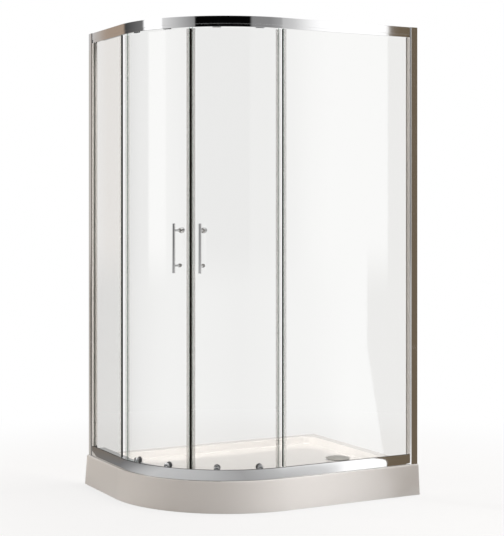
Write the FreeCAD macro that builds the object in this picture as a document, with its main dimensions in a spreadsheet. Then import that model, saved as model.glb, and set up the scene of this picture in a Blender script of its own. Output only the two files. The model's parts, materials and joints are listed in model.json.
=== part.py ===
"""Offset quadrant shower enclosure on a raised tray, in millimetres.

Frame: origin on the floor under the middle of the tray, +X along the long side, +Y towards the
back wall, +Z up. The two walls are the planes at +X and +Y. The rails start at the right wall,
run along the front, turn a quarter circle at the front left corner and end at the back wall.

Three measures place everything on the rails:
  along   distance from a wall plane back towards the round corner
  inward  distance from the rails' outer face into the shower
  height  distance above the top of the tray
The two doors, and all that they carry, are mirror images about the corner's diagonal.
"""
import FreeCAD, Part
import math
import os
import Sketcher
from FreeCAD import Placement, Rotation, Vector

doc = FreeCAD.newDocument("ShowerEnclosure")


# ---------------------------------------------------------------- driving dimensions

DRIVING_DIMENSIONS = {
    # tray
    "tray_length": 1200, "tray_depth": 900, "tray_height": 130,
    "tray_ledge": 10, "tray_flare": 10, "tray_base_radius": 545,
    "tray_edge_round": 6, "skirt_thickness": 9, "void_height": 92,
    "rail_rim": 66, "wall_rim": 45, "basin_slope": 26, "basin_depth": 28, "basin_corner": 60,
    "mouth_round": 8, "floor_round": 12,
    "board_thickness": 18, "board_margin": 60,
    "foot_radius": 22, "foot_height": 14, "leg_radius": 5, "leg_flange": 20, "leg_inset": 110,
    # waste
    "waste_x": 430, "waste_y": -50, "waste_hole": 44, "waste_rim": 56, "cup_radius": 50,
    "cup_floor": 22, "cup_wall": 3, "outlet_height": 52, "outlet_pipe": 20.3, "outlet_reach": 95,
    "pipe_notch": 60, "socket_depth": 30,
    # rails
    "rail_radius": 510, "frame_height": 1900, "rail_depth": 60, "rail_wall": 2,
    "rib_inward": 12, "rib_wall": 1.5, "sill_height": 46, "sill_bulge_radius": 190,
    "track_height": 33, "lintel_height": 45, "lintel_lip": 12, "shelf_drop": 28, "shelf_width": 20,
    # upright profiles at the walls
    "channel_depth": 38, "channel_width": 26, "channel_wall": 1.6, "channel_overhang": 2,
    "post_start": 8, "post_end": 50, "post_width": 22, "post_web": 38,
    # glass
    "glass_thickness": 6, "fixed_glass_inward": 4, "fixed_glass_edge": 5,
    "door_glass_inward": 26, "door_glass_low": 36, "door_glass_high": 1866,
    "door_glass_start": 0.5, "door_glass_end": 44.3,
    # running gear
    "trailing_station": 10.5, "leading_station": 32, "door_travel": 270,
    "track_inward": 45, "wheel_thickness": 6, "running_gap": 0.06,
    "top_wheel": 9.9, "low_wheel": 13.9, "pin_radius": 2.5, "cap_radius": 12,
    # handle
    "handle_station": 38.9, "handle_height": 950, "handle_length": 204, "handle_spacing": 145,
    "handle_radius": 6, "handle_standoff": 50, "post_radius": 5, "stud_radius": 3,
    "glass_hole": 5, "knob_radius": 12.5,
}


class Size:
    """A number from the sheet, or a sum of such numbers, with the text that binds it."""

    def __init__(self, value, text):
        self.value = value
        self.text = text

    def joined(self, other, sign, flipped=False):
        other = other if isinstance(other, Size) else Size(float(other), "%g" % other)
        first, second = (other, self) if flipped else (self, other)
        results = {"+": first.value + second.value, "-": first.value - second.value,
                   "*": first.value * second.value}
        results["/"] = first.value / second.value if second.value else 0.0
        return Size(results[sign], "(%s %s %s)" % (first.text, sign, second.text))

    def __add__(self, other):
        return self.joined(other, "+")

    def __radd__(self, other):
        return self.joined(other, "+", True)

    def __sub__(self, other):
        return self.joined(other, "-")

    def __rsub__(self, other):
        return self.joined(other, "-", True)

    def __mul__(self, other):
        return self.joined(other, "*")

    def __rmul__(self, other):
        return self.joined(other, "*", True)

    def __truediv__(self, other):
        return self.joined(other, "/")

    def __neg__(self):
        return self.joined(0, "-", True)


sheet = doc.addObject("Spreadsheet::Sheet", "Sizes")
size = {}
for row, (word, millimetres) in enumerate(DRIVING_DIMENSIONS.items(), start=1):
    sheet.set("A%d" % row, word)
    sheet.set("B%d" % row, "%g" % millimetres)
    sheet.setAlias("B%d" % row, word)
    size[word] = Size(float(millimetres), "Sizes.%s" % word)
doc.recompute()


def number(amount):
    """The plain number behind a Size or a number."""
    return amount.value if isinstance(amount, Size) else float(amount)


def bind(thing, place, amount):
    """Bind a property or a sketch constraint to the sheet, or set it where it is a number."""
    text = amount.text if isinstance(amount, Size) else "%g" % amount
    thing.setExpression(place, text)


# ---------------------------------------------------------------- places

WALL_X = size["tray_length"] / 2
WALL_Y = size["tray_depth"] / 2
OVERHANG = size["tray_ledge"] + size["tray_flare"]
FRONT = -1 * WALL_Y + OVERHANG            # y of the rails' outer face along the front
LEFT = -1 * WALL_X + OVERHANG             # x of the rails' outer face along the left
CENTRE_X = LEFT + size["rail_radius"]     # middle of the round corner
CENTRE_Y = FRONT + size["rail_radius"]
TRAY_TOP = size["tray_height"]
SIDES = ("right", "left")


def above_tray(height):
    return TRAY_TOP + height


def on_side(side, along, inward):
    """Plan point on the straight run of one side."""
    if side == "right":
        return WALL_X - along, FRONT + inward
    return LEFT + inward, WALL_Y - along


def fixed_edge_along(side):
    """Distance from the wall to the free edge of the fixed glass."""
    if side == "right":
        return WALL_X - CENTRE_X - size["fixed_glass_edge"]
    return WALL_Y - CENTRE_Y - size["fixed_glass_edge"]


def station(angle, height=0.0):
    """Placement on the rail's outer face, ANGLE degrees round the corner from the front run.

    There +X runs along the rail, +Y inward and +Z up from the top of the tray.
    """
    turn = math.radians(angle)
    radius = number(size["rail_radius"])
    base = Vector(number(CENTRE_X) - radius * math.sin(turn),
                  number(CENTRE_Y) - radius * math.cos(turn),
                  number(TRAY_TOP) + height)
    return Placement(base, Rotation(Vector(0, 0, 1), -angle))


# ---------------------------------------------------------------- makers

def plane_of(body, role):
    return next(part for part in body.Origin.OriginFeatures if part.Role == role)


def arc_through(start, end, radius):
    """Arc from start to end, turning left for a positive radius and right for a negative one."""
    if radius < 0:
        start, end, radius = end, start, -radius
    middle = (start + end) * 0.5
    half = (end - start).Length / 2
    across = Vector(start.y - end.y, end.x - start.x, 0).normalize()
    centre = middle + across * math.sqrt(max(radius ** 2 - half ** 2, 0.0))
    first = math.atan2(start.y - centre.y, start.x - centre.x)
    last = math.atan2(end.y - centre.y, end.x - centre.x)
    if last < first:
        last += 2 * math.pi
    return Part.ArcOfCircle(Part.Circle(centre, Vector(0, 0, 1), radius), first, last)


def outline(body, role, points, lift=0, closed=True, name="Outline"):
    """Sketch through points (x, y) or (x, y, radius of the arc that leaves the point)."""
    sketch = body.newObject("Sketcher::SketchObject", name)
    sketch.AttachmentSupport = [(plane_of(body, role), "")]
    sketch.MapMode = "FlatFace"
    if number(lift):
        sketch.AttachmentOffset = Placement(Vector(0, 0, number(lift)), Rotation())
        bind(sketch, "AttachmentOffset.Base.z", lift)
    places = [Vector(number(point[0]), number(point[1]), 0) for point in points]
    count = len(points) if closed else len(points) - 1
    ends = []
    for index in range(count):
        start, end = places[index], places[(index + 1) % len(points)]
        if len(points[index]) == 3:
            edge = sketch.addGeometry(arc_through(start, end, number(points[index][2])), False)
            ends.append((edge, 1, 2) if number(points[index][2]) > 0 else (edge, 2, 1))
        else:
            edge = sketch.addGeometry(Part.LineSegment(start, end), False)
            ends.append((edge, 1, 2))
    for index in range(len(points)):
        if index < count:
            edge, near, _ = ends[index]
        else:
            edge, _, near = ends[index - 1]
        if closed or 0 < index < count:
            before, _, far = ends[index - 1]
            sketch.addConstraint(Sketcher.Constraint("Coincident", before, far, edge, near))
        for axis, amount in (("DistanceX", points[index][0]), ("DistanceY", points[index][1])):
            rule = sketch.addConstraint(
                Sketcher.Constraint(axis, -1, 1, edge, near, number(amount)))
            bind(sketch, "Constraints[%d]" % rule, amount)
    for index in range(count):
        if len(points[index]) == 3:
            radius = points[index][2]
            radius = radius if number(radius) > 0 else -1 * radius
            rule = sketch.addConstraint(
                Sketcher.Constraint("Radius", ends[index][0], number(radius)))
            bind(sketch, "Constraints[%d]" % rule, radius)
    return sketch


def new_body(label):
    body = doc.addObject("PartDesign::Body", "Body")
    body.Label = label
    return body


def feature(body, kind, label, **settings):
    made = body.newObject("PartDesign::" + kind, label)
    for key, amount in settings.items():
        if isinstance(amount, Size):
            bind(made, key, amount)
        else:
            setattr(made, key, amount)
    return made


def upright(label, points, low, high):
    """A vertical extrusion of a plan outline, between two heights above the floor."""
    body = new_body(label)
    sketch = outline(body, "XY_Plane", points, low)
    feature(body, "Pad", "Pad", Profile=sketch, Length=high - low)
    return body


def turned_upright(label, points, x, y):
    """A solid turned about a vertical axis, from (radius, height above the floor) points."""
    body = new_body(label)
    sketch = outline(body, "XZ_Plane", points)
    feature(body, "Revolution", "Turn", Profile=sketch, ReferenceAxis=(sketch, ["V_Axis"]))
    bind(body, "Placement.Base.x", x)
    bind(body, "Placement.Base.y", y)
    return body


def turned_inward(label, points, angle, height):
    """A solid turned about the inward axis at a station, from (inward, radius) points."""
    body = new_body(label)
    sketch = outline(body, "YZ_Plane", points)
    feature(body, "Revolution", "Turn", Profile=sketch, ReferenceAxis=(sketch, ["H_Axis"]))
    body.Placement = station(angle, number(height))
    return body


def curved(label, outer, inner, low, high, start, end):
    """A slice of the round corner between two inward offsets, two heights and two angles."""
    radius = size["rail_radius"]
    body = new_body(label)
    sketch = outline(body, "XZ_Plane", [
        (radius - inner, low), (radius - outer, low), (radius - outer, high), (radius - inner, high)])
    feature(body, "Revolution", "Turn", Profile=sketch, ReferenceAxis=(sketch, ["V_Axis"]),
            Angle=end - start)
    first_turn = -90 - number(end)
    body.Placement = Placement(Vector(number(CENTRE_X), number(CENTRE_Y), number(TRAY_TOP)),
                               Rotation(Vector(0, 0, 1), first_turn))
    return body


def block(label, corner, lengths, placement=None):
    box = doc.addObject("Part::Box", "Box")
    box.Label = label
    for prop, amount in zip(("Length", "Width", "Height"), lengths):
        bind(box, prop, amount)
    place = Placement(Vector(*[number(c) for c in corner]), Rotation())
    box.Placement = placement.multiply(place) if placement else place
    if placement is None:
        for axis, amount in zip("xyz", corner):
            bind(box, "Placement.Base." + axis, amount)
    return box


def inward_rod(label, radius, first, last, angle, height):
    """A plain rod or a drill along the inward axis at a station."""
    rod = doc.addObject("Part::Cylinder", "Rod")
    rod.Label = label
    bind(rod, "Radius", radius)
    bind(rod, "Height", last - first)
    start = Placement(Vector(0, number(first), 0), Rotation(Vector(1, 0, 0), -90))
    rod.Placement = station(angle, number(height)).multiply(start)
    return rod


def less(label, base, *tools):
    """BASE with the tools cut away."""
    tool = tools[0]
    if len(tools) > 1:
        tool = doc.addObject("Part::MultiFuse", "Tools")
        tool.Shapes = list(tools)
    cut = doc.addObject("Part::Cut", "Cut")
    cut.Label = label
    cut.Base = base
    cut.Tool = tool
    return cut


def joined(label, *pieces):
    fuse = doc.addObject("Part::MultiFuse", "Joined")
    fuse.Label = label
    fuse.Shapes = list(pieces)
    return fuse


def group(label, pieces):
    """Separate like pieces kept under one name."""
    bundle = doc.addObject("Part::Compound", "Group")
    bundle.Label = label
    bundle.Links = list(pieces)
    return bundle


def mirrored(label, piece):
    """The same piece on the left door, across the corner's diagonal."""
    twin = doc.addObject("Part::Mirroring", "Twin")
    twin.Label = label
    twin.Source = piece
    twin.Base = Vector(number(CENTRE_X), number(CENTRE_Y), 0)
    twin.Normal = Vector(1, -1, 0)
    return twin


finished = []


def keep(*pieces):
    """Put finished pieces on the list of sub-parts that are written."""
    finished.extend(pieces)


# ---------------------------------------------------------------- tray

def cornered_plan(x0, y0, x1, y1, round_corner):
    """Plan outline of the tray: a large round corner at the front left, square elsewhere."""
    return [(x0 + round_corner, y0), (x1, y0), (x1, y1), (x0, y1),
            (x0, y0 + round_corner, round_corner)]


def basin_plan(x0, y0, x1, y1, round_corner, small):
    """Plan outline of the basin: one large corner at the front left and three small ones."""
    return [(x0 + round_corner, y0), (x1 - small, y0, small), (x1, y0 + small),
            (x1, y1 - small, small), (x1 - small, y1), (x0 + small, y1, small),
            (x0, y1 - small), (x0, y0 + round_corner, round_corner)]


def basin_outline(body, extra, height, name):
    """Outline of the basin, EXTRA in from its upper edge all round."""
    step = size["rail_rim"] + extra
    wall_step = size["wall_rim"] + extra
    plan = basin_plan(LEFT + step, FRONT + step, WALL_X - wall_step, WALL_Y - wall_step,
                      size["rail_radius"] - step, size["basin_corner"] - extra)
    return outline(body, "XY_Plane", plan, height, name=name)


def edges_where(shape, wanted):
    """Names of the edges whose middle point passes the test."""
    names = []
    for index, edge in enumerate(shape.Edges, start=1):
        middle = edge.valueAt((edge.FirstParameter + edge.LastParameter) / 2)
        if wanted(edge, middle):
            names.append("Edge%d" % index)
    return names


def tray_shell():
    """Flared skirt and rim, hollow below, with a sloping basin and the waste hole.

    The flared block runs past both walls, so that its rounded edge is cut off flush there.
    """
    body = new_body("tray_blank")
    spare, tiny = 40, 0.1
    plan = cornered_plan(LEFT - OVERHANG, FRONT - OVERHANG, WALL_X + spare, WALL_Y + spare,
                         size["tray_base_radius"])
    base = outline(body, "XY_Plane", plan, name="BaseOutline")
    slope = math.degrees(math.atan2(number(size["tray_flare"]), number(TRAY_TOP)))
    lean = Size(-slope, "(-1 * atan(Sizes.tray_flare / Sizes.tray_height))")
    feature(body, "Pad", "Block", Profile=base, Length=TRAY_TOP, TaperAngle=lean)
    doc.recompute()
    top_z, ledge = number(TRAY_TOP), size["tray_ledge"]
    outer = edges_where(body.Shape, lambda edge, middle: (
        middle.z > top_z - tiny and middle.x < number(WALL_X) and middle.y < number(WALL_Y)))
    feature(body, "Fillet", "TopRound", Base=(body.Tip, outer), Radius=size["tray_edge_round"])
    step = size["skirt_thickness"]
    void_plan = cornered_plan(LEFT - ledge + step, FRONT - ledge + step, WALL_X - step,
                              WALL_Y - step, size["tray_base_radius"] - size["tray_flare"] - step)
    void = outline(body, "XY_Plane", void_plan, name="VoidOutline")
    feature(body, "Pocket", "Void", Profile=void, Length=size["void_height"], Reversed=True)
    floor_z = TRAY_TOP - size["basin_depth"]
    mouth = basin_outline(body, 0, TRAY_TOP, "MouthOutline")
    floor = basin_outline(body, size["basin_slope"], floor_z, "FloorOutline")
    feature(body, "SubtractiveLoft", "Basin", Profile=mouth, Sections=[floor], Ruled=True)
    doc.recompute()
    inside_x = number(WALL_X - size["wall_rim"]) + 1
    inside_y = number(WALL_Y - size["wall_rim"]) + 1
    rim_x, rim_y = number(LEFT + size["rail_rim"]) - 1, number(FRONT + size["rail_rim"]) - 1
    mouth_edges = edges_where(body.Shape, lambda edge, middle: (
        middle.z > top_z - tiny and rim_x < middle.x < inside_x and rim_y < middle.y < inside_y))
    feature(body, "Fillet", "MouthRound", Base=(body.Tip, mouth_edges), Radius=size["mouth_round"])
    doc.recompute()
    floor_edges = edges_where(body.Shape, lambda edge, middle: (
        abs(middle.z - number(floor_z)) < tiny))
    feature(body, "Fillet", "FloorRound", Base=(body.Tip, floor_edges), Radius=size["floor_round"])
    drill = doc.addObject("Part::Cylinder", "WasteDrill")
    bind(drill, "Radius", size["waste_hole"])
    bind(drill, "Height", TRAY_TOP)
    bind(drill, "Placement.Base.x", size["waste_x"])
    bind(drill, "Placement.Base.y", size["waste_y"])
    walls = block("walls", (-1 * WALL_X, -1 * WALL_Y, 0),
                  (size["tray_length"], size["tray_depth"], TRAY_TOP))
    flush = doc.addObject("Part::Common", "Flush")
    flush.Base = body
    flush.Tool = walls
    half = size["pipe_notch"] / 2
    notch = block("pipe_notch", (size["waste_x"] - half, WALL_Y - 2 * step, 0),
                  (size["pipe_notch"], 3 * step, size["outlet_height"] + half))
    return less("tray_shell", flush, drill, notch)


def leg_places():
    """Plan points of the six legs: three along the back, three along the front."""
    reach_x = number(WALL_X - size["leg_inset"])
    reach_y = number(WALL_Y - size["leg_inset"])
    cut_in = 130
    return [(reach_x, -reach_y), (0, -reach_y), (-reach_x + cut_in, -reach_y + cut_in),
            (reach_x, reach_y), (0, reach_y), (-reach_x, reach_y)]


def tray_supports():
    """Base board under the basin, six threaded legs on it and a foot pad on each."""
    low = size["void_height"] - size["board_thickness"]
    margin = size["board_margin"]
    plan = cornered_plan(LEFT + margin, FRONT + margin, WALL_X - margin, WALL_Y - margin,
                         size["rail_radius"] - margin)
    board = upright("board_blank", plan, low, size["void_height"])
    room = 20
    opening = doc.addObject("Part::Cylinder", "WasteOpening")
    bind(opening, "Radius", size["waste_rim"] + room)
    bind(opening, "Height", TRAY_TOP)
    bind(opening, "Placement.Base.x", size["waste_x"])
    bind(opening, "Placement.Base.y", size["waste_y"])
    half = size["outlet_pipe"] + room - 2
    slot = block("outlet_slot", (size["waste_x"] - half, size["waste_y"], 0),
                 (2 * half, size["outlet_reach"] + room - 5, TRAY_TOP))
    legs, pads = [], []
    flange = 4
    for x, y in leg_places():
        foot = size["foot_height"]
        legs.append(turned_upright("leg", [
            (0, foot), (size["leg_radius"], foot), (size["leg_radius"], low - flange),
            (size["leg_flange"], low - flange), (size["leg_flange"], low), (0, low)], x, y))
        pads.append(turned_upright("foot", [
            (0, 0), (size["foot_radius"], 0), (size["foot_radius"], foot / 2),
            (size["foot_radius"] / 2, foot), (0, foot)], x, y))
    keep(less("tray_base_board", board, opening, slot), group("tray_legs", legs),
         group("tray_foot_pads", pads))


# ---------------------------------------------------------------- waste

BASIN_FLOOR = TRAY_TOP - size["basin_depth"]
SOCKET_WALL = 4


def at_waste(label, points):
    return turned_upright(label, points, size["waste_x"], size["waste_y"])


def outlet_rod(label, radius, first, last):
    """A rod along the waste's outlet, which points to the back wall."""
    rod = doc.addObject("Part::Cylinder", "Rod")
    rod.Label = label
    bind(rod, "Radius", radius)
    bind(rod, "Height", last - first)
    rod.Placement = Placement(Vector(0, 0, 0), Rotation(Vector(1, 0, 0), -90))
    bind(rod, "Placement.Base.x", size["waste_x"])
    bind(rod, "Placement.Base.y", size["waste_y"] + first)
    bind(rod, "Placement.Base.z", size["outlet_height"])
    return rod


def waste_body(cup_top, lip):
    """Cup with a clamping lip, and the socket for the waste pipe on its side."""
    cup, wall, rim, hole = (size["cup_radius"], size["cup_wall"], size["waste_rim"],
                            size["waste_hole"])
    low, pipe, reach = size["cup_floor"], size["outlet_pipe"], size["outlet_reach"]
    shell = at_waste("cup", [
        (0, low), (cup, low), (cup, cup_top - lip), (rim, cup_top - lip), (rim, cup_top),
        (hole, cup_top), (hole, cup_top - lip), (cup - wall, cup_top - 2 * lip),
        (cup - wall, low + wall), (0, low + wall)])
    socket = outlet_rod("socket", pipe + SOCKET_WALL, cup - wall, reach)
    duct = outlet_rod("duct", pipe - wall, cup - 2 * wall, reach)
    pipe_bore = outlet_rod("pipe_bore", pipe, reach - size["socket_depth"], reach + 1)
    return less("waste_body", joined("cup_and_socket", shell, socket), duct, pipe_bore)


def outlet_nut():
    """Ribbed nut round the mouth of the socket."""
    pipe, reach, length, rib = size["outlet_pipe"], size["outlet_reach"], 22, 6
    nut = doc.addObject("Part::Prism", "Nut")
    nut.Polygon = 12
    bind(nut, "Circumradius", pipe + SOCKET_WALL + rib)
    bind(nut, "Height", length)
    nut.Placement = Placement(Vector(0, 0, 0), Rotation(Vector(1, 0, 0), -90))
    bind(nut, "Placement.Base.x", size["waste_x"])
    bind(nut, "Placement.Base.y", size["waste_y"] + reach - length)
    bind(nut, "Placement.Base.z", size["outlet_height"])
    thread = outlet_rod("nut_bore", pipe + SOCKET_WALL + 0.2, reach - length - 1, reach + 1)
    return less("waste_outlet_nut", nut, thread)


def dome(rim, edge):
    """Shallow dome over the waste, with a flat button at its middle."""
    rise, button, chamfer, step = 9, 12, 4, 1
    sphere = (number(rim) ** 2 + rise ** 2) / (2 * rise)
    button_height = edge + step + rise - (sphere - math.sqrt(sphere ** 2 - button ** 2))
    return at_waste("waste_cover", [
        (0, edge), (rim - chamfer, edge), (rim, edge + step, sphere), (button, button_height),
        (0, button_height)])


def dip_tube(bore, flange_top, edge):
    """Tube that hangs from four lugs on the flange down into the cup."""
    gap, wall, lug_length, lug_width, clear = 4, 2, 14, 6, 24
    foot = size["cup_floor"] + clear
    tube = at_waste("tube", [(bore - gap - wall, foot), (bore - gap, foot), (bore - gap, edge),
                             (bore - gap - wall, edge)])
    lugs = []
    for turn in (0, 90, 180, 270):
        middle = Vector(number(size["waste_x"]), number(size["waste_y"]), number(flange_top))
        spot = Placement(middle, Rotation(Vector(0, 0, 1), turn))
        lugs.append(block("lug", (number(bore) - gap - wall / 2, -lug_width / 2, 0),
                          (lug_length, lug_width, edge - flange_top), spot))
    return joined("waste_dip_tube", tube, *lugs)


def waste():
    """Trap cup below the tray, clamped by a flange, with a lift-out dome and dip tube."""
    rim, hole, void = size["waste_rim"], size["waste_hole"], size["void_height"]
    seal, lip, ring_width, flange_height, gap, slack = 2, 5, 6, 3, 2.5, 0.5
    bore, cup_top = hole - ring_width, void - seal
    flange_top = BASIN_FLOOR + flange_height
    flange_foot = cup_top - lip + 1
    keep(waste_body(cup_top, lip), outlet_nut())
    keep(at_waste("waste_gasket", [(hole, cup_top), (rim, cup_top), (rim, void), (hole, void)]))
    keep(at_waste("waste_flange", [
        (bore, flange_foot), (hole - slack, flange_foot), (hole - slack, BASIN_FLOOR),
        (rim, BASIN_FLOOR), (rim - flange_height, flange_top), (bore, flange_top)]))
    keep(dome(rim, flange_top + gap), dip_tube(bore, flange_top, flange_top + gap))


# ---------------------------------------------------------------- rails

def rail(label, section):
    """A bent extrusion that follows the front, the round corner and the left side."""
    body = new_body(label)
    start_x = WALL_X - size["channel_depth"]
    end_y = WALL_Y - size["channel_depth"]
    spine = outline(body, "XY_Plane", [
        (start_x, FRONT), (CENTRE_X, FRONT, -size["rail_radius"]), (LEFT, CENTRE_Y), (LEFT, end_y)],
        closed=False, name="Spine")
    points = [(FRONT + point[0], above_tray(point[1])) + tuple(point[2:]) for point in section]
    profile = outline(body, "YZ_Plane", points, start_x, name="Section")
    doc.recompute()
    feature(body, "AdditivePipe", "Bend", Profile=profile,
            Spine=(spine, ["Edge1", "Edge2", "Edge3"]))
    return body


def top_rail():
    """Fascia over a recessed lip, a rib for the fixed glass and an inner shelf for the wheels."""
    top, wall, depth = size["frame_height"], size["rail_wall"], size["rail_depth"]
    low = top - size["lintel_height"]
    lip = low + size["lintel_lip"]
    rib, rib_in = size["rib_inward"], size["rib_inward"] + size["rib_wall"]
    shelf, shelf_edge = top - size["shelf_drop"], depth - size["shelf_width"]
    step_in = 1.2
    groove_low, groove_high, lip_root = lip - 0.5, lip + 1, lip + 3
    return rail("top_rail", [
        (0, top), (0, groove_high), (wall, groove_high), (wall, groove_low), (step_in, groove_low),
        (step_in, low), (step_in + wall, low), (step_in + wall, lip_root), (wall, lip_root),
        (wall, top - wall), (rib, top - wall), (rib, shelf), (rib_in, shelf), (rib_in, top - wall),
        (depth - wall, top - wall), (depth - wall, shelf), (shelf_edge, shelf),
        (shelf_edge, shelf - wall), (depth, shelf - wall), (depth, top)])


def bottom_rail():
    """A slightly crowned face, a slot for the fixed glass and a track for the wheels."""
    wall, depth = size["rail_wall"], size["rail_depth"]
    rib, rib_in = size["rib_inward"], size["rib_inward"] + size["rib_wall"]
    track = size["track_height"]
    return rail("bottom_rail", [
        (0, 0, -size["sill_bulge_radius"]), (0, size["sill_height"]), (wall, size["sill_height"]),
        (wall, wall), (rib, wall), (rib, track), (depth, track), (depth, 0), (depth - wall, 0),
        (depth - wall, track - wall), (rib_in, track - wall), (rib_in, 0)])


# ---------------------------------------------------------------- uprights at the walls

SCREW_HEIGHTS = (100, 950, 1800)
WALL_FIXING_HEIGHTS = (150, 1750)
WALL_HOLE = 3
SCREW_RADIUS = 2.1


def side_plan(side, points):
    """Plan outline from (along, inward) points."""
    return [on_side(side, along, inward) for along, inward in points]


def level_drill(side, across, radius, first, last, spot, height):
    """A level drill at one upright: through its faces, or along the rail into the wall."""
    drill = doc.addObject("Part::Cylinder", "Drill")
    bind(drill, "Radius", radius)
    bind(drill, "Height", last - first)
    if across:
        x, y = on_side(side, spot, first)
        toward_y = side == "right"
    else:
        x, y = on_side(side, last, spot)
        toward_y = side == "left"
    turn = Rotation(Vector(1, 0, 0), -90) if toward_y else Rotation(Vector(0, 1, 0), 90)
    drill.Placement = Placement(Vector(0, 0, 0), turn)
    bind(drill, "Placement.Base.x", x)
    bind(drill, "Placement.Base.y", y)
    bind(drill, "Placement.Base.z", above_tray(height))
    return drill


def wall_channel(side, screw_drills):
    """U-shaped channel that is screwed to the wall."""
    depth, wall = size["channel_depth"], size["channel_wall"]
    out = -1 * size["channel_overhang"]
    inn = out + size["channel_width"]
    blank = upright("channel_blank", side_plan(side, [
        (0, out), (depth, out), (depth, out + wall), (wall, out + wall), (wall, inn - wall),
        (depth, inn - wall), (depth, inn), (0, inn)]),
        above_tray(0), above_tray(size["frame_height"]))
    wall_drills = [level_drill(side, False, WALL_HOLE, -1, 2 * wall, size["post_width"] / 2, height)
                   for height in WALL_FIXING_HEIGHTS]
    return less("wall_channel_" + side, blank, *screw_drills, *wall_drills)


def post(side, screw_drills):
    """Post that slides into the channel and takes the fixed glass between two jaws."""
    wall, rib = size["channel_wall"], size["rib_inward"]
    start, end, web, width = (size["post_start"], size["post_end"], size["post_web"],
                              size["post_width"])
    blank = upright("post_blank", side_plan(side, [
        (end, 0), (start, 0), (start, wall), (web, wall), (web, width - wall),
        (start, width - wall), (start, width), (web + wall, width), (web + wall, rib + wall),
        (end, rib + wall), (end, rib), (web + wall, rib), (web + wall, wall), (end, wall)]),
        above_tray(size["sill_height"]),
        above_tray(size["frame_height"] - size["lintel_height"]))
    return less("post_" + side, blank, *screw_drills)


def uprights(side):
    """Wall channel and post of one side, and the three screws that hold them together."""
    middle, width = size["channel_depth"] / 2, size["post_width"]
    face = size["channel_width"] - size["channel_overhang"]
    shank_length, head_height = 7, 2

    def drills():
        return [level_drill(side, True, SCREW_RADIUS + 0.1, face / 2, face + width / 4, middle, height)
                for height in SCREW_HEIGHTS]

    keep(wall_channel(side, drills()), post(side, drills()))
    screws = []
    for height in SCREW_HEIGHTS:
        shank = level_drill(side, True, SCREW_RADIUS, face - shank_length, face, middle, height)
        head = level_drill(side, True, 2 * SCREW_RADIUS, face, face + head_height, middle, height)
        screws.append(joined("screw", shank, head))
    return screws


def end_brackets(side):
    """L-shaped plates that tie the ends of both rails to the post."""
    first, thick, reach = size["rib_inward"] + 2.5, 4, 16
    last = first + thick
    start, mid, end = size["post_start"] + 2, size["channel_depth"] - 1, size["post_end"] + reach
    top, edge, tongue_height, plate_height = size["frame_height"], 4, 22, 92
    plates = []
    for at_top in (False, True):
        tongue_low = top - edge - tongue_height if at_top else edge
        plate_low = top - edge - plate_height if at_top else edge
        tongue = upright("tongue", side_plan(side, [
            (mid, first), (end, first), (end, last), (mid, last)]),
            above_tray(tongue_low), above_tray(tongue_low + tongue_height))
        plate = upright("plate", side_plan(side, [
            (start, first), (mid, first), (mid, last), (start, last)]),
            above_tray(plate_low), above_tray(plate_low + plate_height))
        plates.append(joined("end_bracket", tongue, plate))
    return plates


# ---------------------------------------------------------------- fixed glass

GLASS_START = 42                          # along, inside the post
SEAL_SKIN = 1.2
SILL = size["sill_height"]
LINTEL = size["frame_height"] - size["lintel_height"]
GLASS_OUT = size["fixed_glass_inward"]
GLASS_IN = GLASS_OUT + size["glass_thickness"]


def fixed_glazing(side):
    """Fixed glass, the gasket in the post, and the two seals on its free edge."""
    edge, post_end = fixed_edge_along(side), size["post_end"]
    wall, rib = size["channel_wall"], size["rib_inward"]
    low_gap, high_gap, seal_gap, gasket_start = 8, 10, 1, GLASS_START - 2
    keep(upright("fixed_glass_" + side, side_plan(side, [
        (GLASS_START, GLASS_OUT), (edge, GLASS_OUT), (edge, GLASS_IN), (GLASS_START, GLASS_IN)]),
        above_tray(low_gap), above_tray(size["frame_height"] - high_gap)))
    keep(upright("glazing_gasket_" + side, side_plan(side, [
        (gasket_start, wall), (post_end, wall), (post_end, GLASS_OUT), (GLASS_START, GLASS_OUT),
        (GLASS_START, GLASS_IN), (post_end, GLASS_IN), (post_end, rib), (gasket_start, rib)]),
        above_tray(SILL), above_tray(LINTEL)))
    clip_start, clip_end = edge - 13, edge + 2
    out, inn = GLASS_OUT - SEAL_SKIN, GLASS_IN + SEAL_SKIN
    low, high = above_tray(SILL + seal_gap), above_tray(LINTEL - seal_gap)
    keep(upright("edge_seal_" + side, side_plan(side, [
        (clip_start, out), (clip_end, out), (clip_end, inn), (clip_start, inn),
        (clip_start, GLASS_IN), (edge, GLASS_IN), (edge, GLASS_OUT), (clip_start, GLASS_OUT)]),
        low, high))
    lip_end, lip_reach = clip_end + 4, 14.5
    keep(upright("overlap_lip_" + side, side_plan(side, [
        (clip_end, out), (lip_end, out), (lip_end, lip_reach), (clip_end, lip_reach)]), low, high))


def packers(side):
    """Blocks under the fixed glass and the strips that wedge it in the rails."""
    rib, wall = size["rib_inward"], size["rail_wall"]
    start, end, top = size["post_end"] + 2, fixed_edge_along(side), size["frame_height"]
    block_length, inset, block_top, strip_low, strip_height = 60, 50, 8, 10, 18

    def strip(first, last, out, inn, low, high):
        return upright("packer", side_plan(side, [
            (first, out), (last, out), (last, inn), (first, inn)]), above_tray(low), above_tray(high))

    def setting_block(first):
        return strip(first, first + block_length, GLASS_OUT - 1, GLASS_IN + 1, wall, block_top)

    wedge_top = strip_low + strip_height
    return [setting_block(start + inset), setting_block(end - inset - block_length),
            strip(start, end, GLASS_IN, rib, strip_low, wedge_top),
            strip(start, end, wall, GLASS_OUT, strip_low, wedge_top),
            strip(start, end, GLASS_IN, rib, top - wedge_top + 2, top - strip_low - 2)]


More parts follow.
